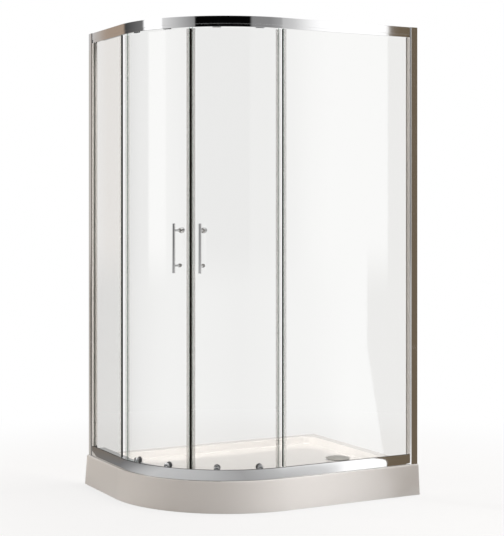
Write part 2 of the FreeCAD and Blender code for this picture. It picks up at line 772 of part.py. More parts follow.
def door_stop(side):
    """Rubber block on the wheel shelf that the trailing wheel meets when the door is open."""
    middle, height, length, half_width, gap = size["track_inward"], 18, 12, 4, 2
    round_part = math.radians(number(size["trailing_station"])) * number(
        size["rail_radius"] - middle)
    reach = size["door_travel"] - round_part + size["top_wheel"] + gap
    start = fixed_edge_along(side) + size["fixed_glass_edge"] - reach
    shelf = size["frame_height"] - size["shelf_drop"]
    return upright("stop", side_plan(side, [
        (start - length, middle - half_width), (start, middle - half_width),
        (start, middle + half_width), (start - length, middle + half_width)]),
        above_tray(shelf), above_tray(shelf + height))


# ---------------------------------------------------------------- door

DOOR_OUT = size["door_glass_inward"]
DOOR_IN = DOOR_OUT + size["glass_thickness"]
STATIONS = (size["trailing_station"], size["leading_station"])
TOP_AXLE = size["frame_height"] - size["shelf_drop"] + size["top_wheel"] + 0.1
LOW_AXLE = size["track_height"] + size["low_wheel"] + 0.1
HANDLE_ANGLE = number(size["handle_station"])
HANDLE_FIXINGS = (size["handle_height"] + size["handle_spacing"] / 2,
                  size["handle_height"] - size["handle_spacing"] / 2)
WHEEL_OUT = size["track_inward"] - size["wheel_thickness"] / 2
WHEEL_IN = size["track_inward"] + size["wheel_thickness"] / 2
END_PLAY = 0.3
WASHER = 1.4                               # the flange of a bush, between metal and glass


def door_glass():
    """The curved pane, with the holes for the handle and for the lower wheels."""
    pane = curved("pane", DOOR_OUT, DOOR_IN, size["door_glass_low"], size["door_glass_high"],
                  size["door_glass_start"], size["door_glass_end"])
    holes = [(HANDLE_ANGLE, height) for height in HANDLE_FIXINGS]
    holes += [(number(angle), LOW_AXLE) for angle in STATIONS]
    drills = [inward_rod("drill", size["glass_hole"], DOOR_OUT - 3, DOOR_IN + 3, angle, height)
              for angle, height in holes]
    return less("door_glass_right", pane, *drills)


def edge_clip(label, start, end, slot_start, slot_end, low, high, skin=SEAL_SKIN):
    """A U-shaped clip over the edge of the curved glass."""
    shell = curved("clip", DOOR_OUT - skin, DOOR_IN + skin, low, high, start, end)
    slot = curved("slot", DOOR_OUT, DOOR_IN, low - 1, high + 1, slot_start, slot_end)
    return less(label, shell, slot)


def door_seals():
    """Leading clip with its magnet strip, and the trailing clip with its fin."""
    start, end = size["door_glass_start"], size["door_glass_end"]
    low, high = size["door_glass_low"] + 2, size["door_glass_high"] - 12
    hold, magnet_skin, magnet_start, magnet_end = 1.5, 1.5, end + 0.26, 44.97
    fin_start, fin_end, fin_reach = start - 0.3, start - 0.05, 9
    leading = edge_clip("magnetic_seal_right", end - hold, magnet_start, end - 2 * hold, end,
                        low, high)
    magnet = curved("magnet_strip_right", DOOR_OUT - magnet_skin, DOOR_IN + magnet_skin, low, high,
                    magnet_start, magnet_end)
    clip = edge_clip("trailing_clip", fin_start, start + hold, start, start + 2 * hold, low, high)
    fin = curved("fin", DOOR_OUT - fin_reach, DOOR_OUT - SEAL_SKIN, low, high, fin_start, fin_end)
    return leading, magnet, joined("trailing_seal_right", clip, fin)


def handle_bar():
    """Upright round bar with chamfered ends, outside the glass."""
    chamfer = 1.0
    bar = doc.addObject("Part::Cylinder", "Bar")
    bar.Label = "handle_bar_blank"
    bind(bar, "Radius", size["handle_radius"])
    bind(bar, "Height", size["handle_length"])
    low = size["handle_height"] - size["handle_length"] / 2
    inward = number(DOOR_OUT - size["handle_standoff"])
    bar.Placement = station(HANDLE_ANGLE, number(low)).multiply(
        Placement(Vector(0, inward, 0), Rotation()))
    doc.recompute()
    rounded = doc.addObject("Part::Chamfer", "BarEnds")
    rounded.Label = "handle_bar_right"
    rounded.Base = bar
    rounded.Edges = [(index, chamfer, chamfer) for index, edge in enumerate(bar.Shape.Edges, start=1)
                     if edge.BoundBox.ZLength < chamfer]
    return bar, rounded


def handle_post(bar, height):
    """Post from the bar to the glass, with the stud that goes on through the glass."""
    start, seat, stud_end = DOOR_OUT - size["handle_standoff"], DOOR_OUT - WASHER, DOOR_IN + 8
    rod, stud = size["post_radius"], size["stud_radius"]
    post = turned_inward("post", [
        (start, 0), (start, rod), (seat, rod), (seat, stud), (stud_end, stud), (stud_end, 0)],
        HANDLE_ANGLE, height)
    return less("handle_post", post, bar)


def handle_bush(height):
    """Clear bush with a flange on each side of the glass."""
    bore, sleeve, flange = size["stud_radius"] + 0.1, size["glass_hole"] - 0.1, 8
    return turned_inward("bush", [
        (DOOR_OUT - WASHER, bore), (DOOR_OUT - WASHER, flange), (DOOR_OUT, flange),
        (DOOR_OUT, sleeve), (DOOR_IN + 0.1, sleeve), (DOOR_IN + 0.1, flange),
        (DOOR_IN + WASHER, flange), (DOOR_IN + WASHER, bore)], HANDLE_ANGLE, height)


def inner_knob(height):
    """Waisted round knob on the upper stud, inside the glass."""
    seat, bore, radius = DOOR_IN + WASHER, size["stud_radius"] + 0.1, size["knob_radius"]
    depth, neck, shoulder, length, round_off = 8, 13, 15, 24, 2
    return turned_inward("inner_knob", [
        (seat, bore), (seat, radius * 0.6), (seat + depth, radius * 0.5), (seat + neck, radius - 1),
        (seat + shoulder, radius), (seat + length - round_off, radius),
        (seat + length, radius - round_off), (seat + length, 0), (seat + depth, 0),
        (seat + depth, bore)], HANDLE_ANGLE, height)


def inner_cap(height):
    """Small domed cap on the lower stud, inside the glass."""
    seat, bore = DOOR_IN + WASHER, size["stud_radius"] + 0.1
    radius, depth, length, round_off = 7.5, 8, 9, 2
    return turned_inward("inner_cap", [
        (seat, bore), (seat, radius), (seat + length - round_off, radius),
        (seat + length, radius - round_off), (seat + length, 0), (seat + depth, 0),
        (seat + depth, bore)], HANDLE_ANGLE, height)


def handle():
    """Outer bar on two posts, bushes in the glass, and a knob and a cap on the inside."""
    bar, rounded = handle_bar()
    upper, lower = HANDLE_FIXINGS
    return (rounded,
            group("handle_posts_right", [handle_post(bar, height) for height in HANDLE_FIXINGS]),
            group("handle_bushes_right", [handle_bush(height) for height in HANDLE_FIXINGS]),
            group("inner_knobs_right", [inner_knob(upper), inner_cap(lower)]))


def wheel(label, radius, angle, height):
    """A nylon wheel with a dished face and a hub, running on its pin with a small clearance."""
    bore = size["pin_radius"] + size["running_gap"]
    chamfer, dish, hub = 1, 1.5, 2.4
    return turned_inward(label, [
        (WHEEL_OUT, bore), (WHEEL_OUT, radius - chamfer), (WHEEL_OUT + chamfer, radius),
        (WHEEL_IN - chamfer, radius), (WHEEL_IN, radius - chamfer), (WHEEL_IN, radius * 0.75),
        (WHEEL_IN - dish, radius * 0.7), (WHEEL_IN - dish, bore + hub), (WHEEL_IN, bore + hub - 0.4),
        (WHEEL_IN, bore)], number(angle), height)


def top_hanger(angle):
    """Clamp over the top edge of the glass, with an upstand and the wheel's pin."""
    half_angle, skin, hold, plate, half_width, over_axle = 2.1, 1.5, 10, 3, 9, 8
    pin, head, head_length = size["pin_radius"], 4, 1.5
    roof = size["frame_height"] - size["shelf_drop"] - 2.5
    first, last = angle - half_angle, angle + half_angle
    clamp = edge_clip("clamp", first, last, first - 1, last + 1, size["door_glass_high"] - hold,
                      roof, skin)
    bridge = curved("bridge", DOOR_OUT, DOOR_IN, size["door_glass_high"], roof, first, last)
    upstand = block("upstand", (-half_width, DOOR_OUT + skin, number(roof) - 1),
                    (2 * half_width, plate, TOP_AXLE + over_axle - roof), station(number(angle)))
    root, collar_end, pin_end = DOOR_OUT + plate, WHEEL_OUT - END_PLAY, WHEEL_IN + END_PLAY
    axle = turned_inward("axle", [
        (root, 0), (root, pin), (pin_end, pin), (pin_end, head), (pin_end + head_length, head),
        (pin_end + head_length, 0)], number(angle), TOP_AXLE)
    collar = turned_inward("collar", [
        (root + 1, 0), (root + 1, head), (collar_end, head), (collar_end, 0)],
        number(angle), TOP_AXLE)
    return joined("top_hanger", clamp, bridge, upstand, axle, collar)


def low_carrier(angle):
    """Pin through the glass, with the inner disc that holds the lower wheel off the glass."""
    pin, disc, cone, head = size["pin_radius"], 10, 5, 5
    start, seat = DOOR_OUT - 4.5, DOOR_IN + 0.15
    disc_end, cone_end, collar_end = DOOR_IN + 2.5, DOOR_IN + 4, WHEEL_OUT - END_PLAY
    pin_end, head_end = WHEEL_IN + END_PLAY, WHEEL_IN + 2
    return turned_inward("carrier", [
        (start, 0), (start, pin), (seat, pin), (seat, disc), (disc_end, disc), (cone_end, cone),
        (collar_end, cone - 0.5), (collar_end, pin), (pin_end, pin), (pin_end, head),
        (head_end, head), (head_end, 0)], number(angle), LOW_AXLE)


def low_cap(angle):
    """Round cap on the outside of the glass at a lower wheel."""
    radius, bore = size["cap_radius"], size["pin_radius"] + size["running_gap"]
    rim, face, dish = DOOR_OUT - 2.5, DOOR_OUT - 5, DOOR_OUT - 4
    return turned_inward("cap", [
        (DOOR_OUT, bore), (DOOR_OUT, radius), (rim, radius), (face, radius - 4), (face, bore + 2),
        (dish, bore + 1.5), (dish, bore)], number(angle), LOW_AXLE)


def doors():
    """The right door's pieces, and their mirror images for the left door."""
    pieces = [door_glass(), *door_seals(), *handle(),
              group("top_hangers_right", [top_hanger(angle) for angle in STATIONS]),
              group("low_carriers_right", [low_carrier(angle) for angle in STATIONS]),
              group("low_caps_right", [low_cap(angle) for angle in STATIONS])]
    for place, angle in zip(("trailing", "leading"), STATIONS):
        pieces.append(wheel("top_wheel_%s_right" % place, size["top_wheel"], angle, TOP_AXLE))
        pieces.append(wheel("low_wheel_%s_right" % place, size["low_wheel"], angle, LOW_AXLE))
    for piece in pieces:
        keep(piece, mirrored(piece.Label.replace("_right", "_left"), piece))


# ---------------------------------------------------------------- assembly

keep(tray_shell())
tray_supports()
waste()
keep(top_rail(), bottom_rail())
screws, brackets, packs, stops = [], [], [], []
for side in SIDES:
    screws += uprights(side)
    brackets += end_brackets(side)
    fixed_glazing(side)
    packs += packers(side)
    stops.append(door_stop(side))
keep(group("frame_screws", screws), group("end_brackets", brackets),
     group("glazing_packers", packs), group("door_stops", stops))
doors()
doc.recompute()

for thing in doc.Objects:
    if {"Invalid", "Error"} & set(thing.State):
        raise RuntimeError("%s (%s) failed: %s" % (thing.Label, thing.Name, thing.State))
for piece in finished:
    shape = piece.Shape
    if shape.isNull() or not shape.isValid() or not shape.Solids:
        raise RuntimeError("%s has no valid solid" % piece.Label)
os.makedirs("parts", exist_ok=True)
for piece in finished:
    piece.Shape.exportStep("parts/%s.step" % piece.Label)
    print("%-26s %d solid(s) %12.0f mm3" % (piece.Label, len(piece.Shape.Solids), piece.Shape.Volume))
print(len(finished), "sub-parts")
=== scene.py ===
# %% [markdown]
# # Dressing a quadrant shower enclosure
#
# The enclosure stands in a corner: a raised white tray, two bent metal rails, a fixed pane on each
# straight side and two curved doors that slide along the round corner. Its construction is fixed
# already: every part has its size, its place and the body that it moves with. These cells load that
# frame, give every part its surface, and model again the parts whose shape the light shows most.

# %% Load the frame
import bmesh
import bpy
import json
import math
from mathutils import Matrix, Vector


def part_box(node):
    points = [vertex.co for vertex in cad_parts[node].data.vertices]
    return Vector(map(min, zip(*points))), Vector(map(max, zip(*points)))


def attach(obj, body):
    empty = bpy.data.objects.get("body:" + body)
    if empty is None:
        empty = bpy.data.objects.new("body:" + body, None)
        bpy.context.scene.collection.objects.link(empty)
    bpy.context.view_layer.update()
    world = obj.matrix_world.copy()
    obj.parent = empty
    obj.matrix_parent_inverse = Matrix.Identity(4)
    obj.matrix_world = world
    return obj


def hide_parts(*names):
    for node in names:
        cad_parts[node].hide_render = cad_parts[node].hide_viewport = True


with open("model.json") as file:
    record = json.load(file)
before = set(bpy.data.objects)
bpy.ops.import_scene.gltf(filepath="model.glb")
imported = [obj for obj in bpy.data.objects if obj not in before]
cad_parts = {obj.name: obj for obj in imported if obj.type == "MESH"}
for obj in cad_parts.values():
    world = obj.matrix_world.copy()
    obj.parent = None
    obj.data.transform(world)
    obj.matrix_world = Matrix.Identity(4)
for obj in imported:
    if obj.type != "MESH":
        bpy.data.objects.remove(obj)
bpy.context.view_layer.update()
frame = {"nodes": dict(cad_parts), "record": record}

# %% [markdown]
# ## Where things are
#
# The frame gives a few planes, and all the rest is measured from them the way a fitter would:
# how far along from a wall, how far in from the rails' outer face, and how high above the tray.
# Profiles are drawn in millimetres, since that is how such profiles are sold.

# %% Planes and measures taken from the frame
MM = 0.001
SIDES = ("right", "left")
rail_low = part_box("top_rail")[0]
tray_low, tray_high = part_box("tray_shell")
FRONT, LEFT = rail_low.y, rail_low.x
WALL_X, WALL_Y, TRAY_TOP = tray_high
GLASS_EDGE = 5 * MM
CENTRE = Vector((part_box("fixed_glass_right")[0].x - GLASS_EDGE,
                 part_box("fixed_glass_left")[0].y - GLASS_EDGE, 0))
RADIUS = CENTRE.x - LEFT
print("round corner: radius %.3f m about (%.3f, %.3f)" % (RADIUS, CENTRE.x, CENTRE.y))

# %% Which body and which finish each part has
record = frame["record"]
BODY_OF = {part: body for body, parts in record["behaviour"]["bodies"].items() for part in parts}
SLOT_OF = {row["node"]: row["material_slot"] for row in record["subparts"]}
print(len(set(BODY_OF.values())), "bodies and", len(set(SLOT_OF.values())), "finishes")


# %% Places on a straight side and round the corner
def on_side(side, along, inward, height):
    """Point beside one wall: mm along from the wall, in from the rails' face, above the tray."""
    z = TRAY_TOP + height * MM
    if side == "right":
        return Vector((WALL_X - along * MM, FRONT + inward * MM, z))
    return Vector((LEFT + inward * MM, WALL_Y - along * MM, z))


def station(angle, inward=0, height=0):
    """Place ANGLE degrees round the corner, with X along the rail, Y inward and Z up."""
    turn = Matrix.Rotation(math.radians(-angle), 4, "Z")
    spot = Vector((0, inward * MM - RADIUS, TRAY_TOP + height * MM))
    return Matrix.Translation(CENTRE) @ turn @ Matrix.Translation(spot)


# the left door is the right one seen in a mirror that stands across the corner's diagonal
SWAP = CENTRE.x - CENTRE.y
MIRROR = Matrix(((0, 1, 0, SWAP), (1, 0, 0, -SWAP), (0, 0, 1, 0), (0, 0, 0, 1)))
print("a door's leading edge stands at", station(44.3).translation[:])

# %% [markdown]
# ## Shader arithmetic
#
# A finish is a small sum: a base tone, plus a little noise, times a mask. Written out as nodes it
# is hard to read, so a socket is wrapped in a class whose operators add the Math nodes for us. Any
# other node comes from one method, which takes the node's settings first and then its sockets.


# %% Sockets that can be added and multiplied
class Wire:
    """An output socket; arithmetic on it adds Math nodes to its paint."""

    def __init__(self, paint, socket):
        self.paint = paint
        self.socket = socket

    def sum(self, operation, first, second):
        return self.paint.node("Math", {"operation": operation}, {0: first, 1: second})

    def __add__(self, other):
        return self.sum("ADD", self, other)

    def __radd__(self, other):
        return self.sum("ADD", other, self)

    def __sub__(self, other):
        return self.sum("SUBTRACT", self, other)

    def __rsub__(self, other):
        return self.sum("SUBTRACT", other, self)

    def __mul__(self, other):
        return self.sum("MULTIPLY", self, other)

    def __rmul__(self, other):
        return self.sum("MULTIPLY", other, self)

    def __truediv__(self, other):
        return self.sum("DIVIDE", self, other)

    def __pow__(self, other):
        return self.sum("POWER", self, other)

    def __gt__(self, other):
        return self.sum("GREATER_THAN", self, other)


# %% A paint collects the nodes of one finish
class Paint:
    """A material, or the world, under construction."""

    def __init__(self, owner, end="OutputMaterial"):
        owner.use_nodes = True
        self.owner, self.tree = owner, owner.node_tree
        self.tree.nodes.clear()
        self.end = self.tree.nodes.new("ShaderNode" + end)

    def node(self, kind, settings=None, sockets=None, out=0):
        """Add a node: its settings first, then the values or wires of its sockets."""
        made = self.tree.nodes.new("ShaderNode" + kind)
        for key, value in (settings or {}).items():
            if key == "stops":
                self.set_stops(made.color_ramp, value)
            else:
                setattr(made, key, value)
        for key, value in (sockets or {}).items():
            if isinstance(value, Wire):
                self.tree.links.new(value.socket, made.inputs[key])
            else:
                made.inputs[key].default_value = value
        return Wire(self, made.outputs[out])

    def set_stops(self, ramp, stops):
        while len(ramp.elements) < len(stops):
            ramp.elements.new(1.0)
        for element, (place, tone) in zip(ramp.elements, stops):
            element.position = place
            element.color = (*tone, 1.0)

    def place(self):
        """Where a point is on the object, in metres."""
        return self.node("TexCoord", out="Object")

    def noise(self, size, detail=2.0, stretch=(1, 1, 1)):
        """Noise from 0 to 1 whose features are SIZE metres across, longer where stretched."""
        scale = [1.0 / (size * amount) for amount in stretch]
        moved = self.node("Mapping", {}, {"Vector": self.place(), "Scale": scale})
        return self.node("TexNoise", {}, {"Vector": moved, "Scale": 1.0, "Detail": detail})

    def colour(self, factor, first, second):
        """A colour from FIRST to SECOND, each a tone or a wire, as the factor goes from 0 to 1."""
        first, second = (tone if isinstance(tone, Wire) else (*tone, 1.0)
                         for tone in (first, second))
        return self.node("Mix", {"data_type": "RGBA"},
                         {"Factor": factor, 6: first, 7: second}, out=2)

    def bump(self, height, distance):
        return self.node("Bump", {}, {"Distance": distance, "Height": height})

    def principled(self, sockets):
        return self.node("BsdfPrincipled", {}, sockets)

    def finish(self, shader):
        self.tree.links.new(shader.socket, self.end.inputs["Surface"])
        print("finish", self.owner.name, "has", len(self.tree.nodes), "nodes")
        return self.owner


def new_paint(name):
    return Paint(bpy.data.materials.new(name))


# %% [markdown]
# ## Metal finishes
#
# The rails and uprights are aluminium, bright-dipped and polished: a mirror with a very slight
# unevenness from the drawing of the profile. The waste cover has been walked on and is dull. The
# hidden fixings are plated steel, duller still and blotchy. Each is a metallic surface whose
# roughness varies a little with noise.

# %% Bright and dulled metal, plated steel and turned steel
FINISH = {}


def metal(slot, tone, rough, spread, grain, ripple):
    """A metal: its tone, its roughness and the spread of that, and a fine ripple."""
    paint = new_paint(slot)
    cloud = paint.noise(grain, 3.0)
    darker = [part * (1 - spread) for part in tone]
    FINISH[slot] = paint.finish(paint.principled({
        "Base Color": paint.colour(cloud, darker, tone), "Metallic": 1.0,
        "Roughness": rough + spread * cloud, "Normal": paint.bump(paint.noise(0.06, 1.0), ripple)}))


metal("chrome", (0.86, 0.86, 0.865), 0.03, 0.02, 0.12, 0.000002)
metal("dulled", (0.56, 0.53, 0.48), 0.30, 0.06, 0.02, 0.000004)
metal("zinc", (0.62, 0.63, 0.65), 0.26, 0.18, 0.012, 0.00004)
metal("steel_pin", (0.58, 0.58, 0.60), 0.20, 0.10, 0.006, 0.00002)

# %% [markdown]
# ## Glass
#
# A pane is clear toughened glass. It lets nearly all light through with hardly any cast, and
# mirrors a little, much more at a glancing angle. The mix of a see-through shader and a mirror says
# just that, and its share follows the usual rule for glass: about five percent, plus the rest times
# the fifth power of how far the surface turns away. The ground edges are denser and greener.


# %% Clear glass and its ground edge
def pane_glass(name, tint, least, mirror_rough):
    """A see-through tint under a mirror that shows LEAST of itself when it is faced."""
    paint = new_paint(name)
    facing = paint.node("LayerWeight", {}, {"Blend": 0.5}, out="Facing")
    share = least + (1 - least) * facing ** 5
    smear = paint.noise(0.25, 4.0)
    clear = paint.node("BsdfTransparent", {}, {"Color": (*tint, 1.0)})
    mirror = paint.principled({"Base Color": (1, 1, 1, 1), "Metallic": 1.0,
                               "Roughness": mirror_rough + 0.02 * smear})
    return paint.finish(paint.node("MixShader", {}, {0: share, 1: clear, 2: mirror}))


FINISH["clear_glass"] = pane_glass("clear_glass", (0.957, 0.957, 0.952), 0.05, 0.01)
GLASS_RIM = pane_glass("glass_edge", (0.40, 0.52, 0.47), 0.10, 0.25)


# %% [markdown]
# ## Plastics, rubber and board
#
# The tray is cast acrylic: white, glossy, with the faint waviness of a vacuum-formed sheet. Seals
# are flexible strip, milky and half clear, or nearly black. The posts that hold the fixed panes are
# lacquered in a pale satin. The rest is moulded plastic and rubber with a fine grain, and a plywood
# board that nobody sees once the tray is fitted.


# %% Acrylic, strip, lacquer, moulded plastics and rubber
def moulded(slot, tone, rough, spread, grain, ripple, **extra):
    """A plastic or a rubber, with cloudy tone and roughness and a fine surface grain."""
    paint = new_paint(slot)
    cloud = paint.noise(grain * 40, 3.0)
    shade = [part * (1 - spread) for part in tone]
    sockets = {"Base Color": paint.colour(cloud, shade, tone), "Roughness": rough + spread * cloud,
               "Normal": paint.bump(paint.noise(grain, 2.0), ripple)}
    sockets.update({key.replace("_", " "): value for key, value in extra.items()})
    FINISH[slot] = paint.finish(paint.principled(sockets))


moulded("tray_acrylic", (0.86, 0.842, 0.826), 0.16, 0.03, 0.02, 0.00002, Coat_Weight=0.6,
        Coat_Roughness=0.04)
moulded("clear_seal", (0.80, 0.78, 0.745), 0.25, 0.05, 0.002, 0.00003, Alpha=0.2)
moulded("milky_seal", (0.82, 0.80, 0.77), 0.30, 0.05, 0.002, 0.00003, Alpha=0.9)
moulded("satin", (0.95, 0.94, 0.92), 0.32, 0.02, 0.05, 0.000004)
moulded("dark_seal", (0.010, 0.006, 0.004), 0.42, 0.10, 0.001, 0.00003, IOR=1.2)
moulded("magnet", (0.010, 0.006, 0.004), 0.50, 0.10, 0.001, 0.00003, IOR=1.2)
moulded("rubber", (0.028, 0.028, 0.028), 0.62, 0.12, 0.0012, 0.00006)
moulded("nylon", (0.10, 0.10, 0.105), 0.38, 0.10, 0.0008, 0.00003)
moulded("waste_plastic", (0.80, 0.80, 0.78), 0.36, 0.06, 0.0012, 0.00003)

# %% Plywood of the base board
board = new_paint("board")
grain = board.noise(0.008, 5.0, stretch=(16, 1, 1))
FINISH["board"] = board.finish(board.principled({
    "Base Color": board.colour(grain, (0.30, 0.19, 0.10), (0.56, 0.41, 0.25)),
    "Roughness": 0.62 + 0.2 * grain, "Normal": board.bump(grain, 0.0004)}))

# %% [markdown]
# ## Working by hand, in code
#
# New pieces start from a Blender primitive and are shaped in edit mode. A profile is one vertex
# drawn on from corner to corner; a face is filled into it and pulled or swept to length. What an
# operator acts on is chosen in code by where an element lies, just as one would pick it by eye.


# %% Drawing, pulling and picking
def drawn_line(name, corners):
    """Draw from corner to corner with one extruded vertex; the piece stays in edit mode."""
    bpy.ops.object.select_all(action="DESELECT")
    bpy.ops.mesh.primitive_plane_add(size=MM, location=corners[0])
    piece = bpy.context.object
    piece.name = piece.data.name = name
    bpy.ops.object.transform_apply(location=True)
    bpy.ops.object.mode_set(mode="EDIT")
    bpy.ops.mesh.select_mode(type="VERT")
    bpy.ops.mesh.select_all(action="SELECT")
    bpy.ops.mesh.merge(type="CENTER")
    for here, there in zip(corners, corners[1:]):
        bpy.ops.mesh.extrude_vertices_move(TRANSFORM_OT_translate={"value": there - here})
    bpy.ops.mesh.select_all(action="SELECT")
    return piece


def drawn_face(name, corners):
    piece = drawn_line(name, corners)
    bpy.ops.mesh.edge_face_add()
    return piece


def pull(x=0.0, y=0.0, z=0.0):
    bpy.ops.mesh.extrude_region_move(TRANSFORM_OT_translate={"value": (x, y, z)})


def sweep(degrees, steps, centre=CENTRE, **settings):
    """Turn the selection round a vertical line, clockwise as seen from above."""
    bpy.ops.mesh.spin(steps=steps, angle=math.radians(degrees), center=centre, axis=(0, 0, 1),
                      **settings)


def pick(piece, kind, wanted):
    """Select the verts, edges or faces of PIECE that are wanted, and nothing else."""
    bpy.ops.mesh.select_mode(type={"verts": "VERT", "edges": "EDGE", "faces": "FACE"}[kind])
    bpy.ops.mesh.select_all(action="DESELECT")
    mesh = bmesh.from_edit_mesh(piece.data)
    for element in getattr(mesh, kind):
        if wanted(element):
            element.select_set(True)
    bmesh.update_edit_mesh(piece.data)


def middle(element):
    return sum((vert.co for vert in element.verts), Vector()) / len(element.verts)


# %% Modifiers, and a cut with another piece
def modify(piece, kind, **settings):
    """Add a modifier to the piece, set it and apply it."""
    bpy.context.view_layer.objects.active = piece
    made = piece.modifiers.new(kind.title(), kind)
    for key, value in settings.items():
        setattr(made, key, value)
    bpy.ops.object.modifier_apply(modifier=made.name)


def cut(piece, tool):
    """Take the tool's shape out of the piece and throw the tool away."""
    modify(piece, "BOOLEAN", operation="DIFFERENCE", object=tool, solver="EXACT")
    bpy.data.objects.remove(tool)


def round_edges(piece, width, segments=2, over=40):
    modify(piece, "BEVEL", width=width * MM, segments=segments, limit_method="ANGLE",
           angle_limit=math.radians(over), harden_normals=False)


def whole(piece):
    """Merge what lies together, point all faces outwards and leave edit mode."""
    bpy.ops.mesh.select_all(action="SELECT")
    bpy.ops.mesh.remove_doubles(threshold=0.002 * MM)
    bpy.ops.mesh.normals_make_consistent(inside=False)
    bpy.ops.object.mode_set(mode="OBJECT")
    return piece


# %% Turning on a lathe, and placing
def turned(name, profile, steps=48):
    """A piece turned about the Z axis, from the (height, radius) corners of its section in mm.

    A section that starts and ends on the axis stays open there, and any other one is closed.
    """
    corners = [Vector((radius * MM, 0, height * MM)) for height, radius in profile]
    if profile[0][1]:
        corners.append(corners[0])
    piece = drawn_line(name, corners)
    sweep(360, steps, Vector(), use_auto_merge=True)
    return whole(piece)


# lays a lathe's axis level, so that heights on it run inward from the rails' outer face
INWARD = Matrix.Rotation(math.radians(-90), 4, "X")


def select_only(*pieces):
    """Select these pieces and nothing else, with the first of them active."""
    bpy.ops.object.select_all(action="DESELECT")
    for piece in pieces:
        piece.select_set(True)
    bpy.context.view_layer.objects.active = pieces[0]


def put(piece, place):
    """Put a piece that was made at the origin in its place, and fix that place in its mesh."""
    select_only(piece)
    piece.matrix_world = place
    bpy.ops.object.transform_apply()
    return piece


def joined(pieces):
    """Join pieces into the first of them."""
    select_only(*pieces)
    bpy.ops.object.join()
    return pieces[0]


# %% Dressing a piece, or a piece and its mirror image
def dress(piece, node, finish=None, smooth=35):
    """Shade a finished piece, give it its finish, and let it stand for its part of the frame."""
    piece.name = piece.data.name = node + "_form"
    select_only(piece)
    bpy.ops.object.shade_smooth_by_angle(angle=math.radians(smooth))
    modify(piece, "WEIGHTED_NORMAL", keep_sharp=True)
    if not piece.data.materials:
        piece.data.materials.append(finish or FINISH[SLOT_OF[node]])
    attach(piece, BODY_OF[node])
    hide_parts(node)
    print(piece.name, "has", len(piece.data.polygons), "faces")


def twin(piece):
    """The same piece for the left door: its own mesh, mirrored, with its faces turned back."""
    mesh = piece.data.copy()
    mesh.transform(MIRROR)
    mesh.flip_normals()
    other = bpy.data.objects.new(piece.name, mesh)
    bpy.context.scene.collection.objects.link(other)
    return other


def dress_pair(piece, part, **settings):
    """Dress a piece for the right door and its mirror image for the left one."""
    other = twin(piece)
    dress(piece, part + "_right", **settings)
    dress(other, part + "_left", **settings)


# %% [markdown]
# ## Rails
#
# Each rail is one aluminium profile bent round the corner. The head rail has a flat fascia over a
# lip that sits back behind a fine groove; the sill rail has a softly crowned face over a shadow
# gap, and along its top a dark strip, which is painted shade for the shadow line there. All are
# drawn as sections at the right wall, pulled along the front, swept round the corner and pulled
# back. A section's corners are (mm inward, mm above the tray).

# %% The head rail's section
RAIL_ENDS, EASE = 38, 0.15
HEAD_TOP, HEAD_LIP = 1900, 1855
HEAD = [(0.8, HEAD_TOP), (0, 1899.2), (0, 1868), (2, 1868), (2, 1866.5), (1.2, 1866.5),
        (1.2, 1855.8), (2, HEAD_LIP), (3.2, HEAD_LIP), (3.2, 1870), (2, 1870), (2, 1898),
        (12, 1898), (12, 1872), (13.5, 1872), (13.5, 1898), (58, 1898), (58, 1872), (40, 1872),
        (40, 1870), (60, 1870), (60, HEAD_TOP)]
print("head rail section:", len(HEAD), "corners")

# %% The sill rail's section, whose face is an arc
SILL_HEIGHT, CROWN_RADIUS, CROWN_STEPS = 46, 190, 12
# the crown ends at the foot of the dark strip, which is painted shade for the shadow line along the
# sill's top
GAP_DEPTH, FOOT_GAP, SHADE_STRIP_FOOT = 3.2, 1.5, 44.6


def crown_reach(height):
    """How far the crown's arc stands from its own centre line at a height."""
    return math.sqrt(CROWN_RADIUS ** 2 - (height - SILL_HEIGHT / 2) ** 2)


heights = [FOOT_GAP + (SHADE_STRIP_FOOT - FOOT_GAP) * step / CROWN_STEPS
           for step in range(CROWN_STEPS + 1)]
crown = [(crown_reach(0) - crown_reach(height), height) for height in heights]
SILL = [(GAP_DEPTH, 0), (GAP_DEPTH, FOOT_GAP)] + crown + [
    (3.6, SHADE_STRIP_FOOT), (3.6, 2), (12, 2), (12, 33), (60, 33), (60, 0), (58, 0), (58, 31),
    (13.5, 31), (13.5, 0)]
print("sill rail section: bulge %.2f mm" % -min(inward for inward, _ in SILL))


# %% Both rails, bent round the corner
def bent_rail(name, section):
    """Pull a section along the front, sweep it round the corner and pull it to the back wall."""
    corners = [on_side("right", RAIL_ENDS, inward, height) for inward, height in section]
    piece = drawn_face(name, corners)
    pull(x=CENTRE.x - corners[0].x)
    sweep(90, 90)
    pull(y=WALL_Y - RAIL_ENDS * MM - CENTRE.y)
    whole(piece)
    round_edges(piece, EASE)
    return piece


for node, section in (("top_rail", HEAD), ("bottom_rail", SILL)):
    dress(bent_rail(node, section), node, smooth=50)

# %% A dark strip on top of the sill's front wall, painted shade for the shadow line there
SHADE_STRIP_LOW = SHADE_STRIP_FOOT + 0.1
SHADE_STRIP = [(0.4, SHADE_STRIP_LOW), (0.4, SILL_HEIGHT), (3.5, SILL_HEIGHT), (3.5, SHADE_STRIP_LOW)]
# a near-black piece where the sill's top edge has only a shadow line: painted shade
shade_strip = bent_rail("sill_bead", SHADE_STRIP)
shade_strip.data.materials.append(FINISH["dark_seal"])
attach(shade_strip, "frame")
print(shade_strip.name, "has", len(shade_strip.data.polygons), "faces")

# %% [markdown]
# ## Tray
#
# The tray is one moulding: a skirt that leans in slightly, a flat ledge for the rails, and a
# shallow basin with sloping sides. It starts as one plane past both walls, whose front left corner
# is rounded; an inset with depth leans the skirt. The basin and the hollow below are cut with
# tools made the same way, the walls' sides are sliced off flush, and then the edges are rounded.


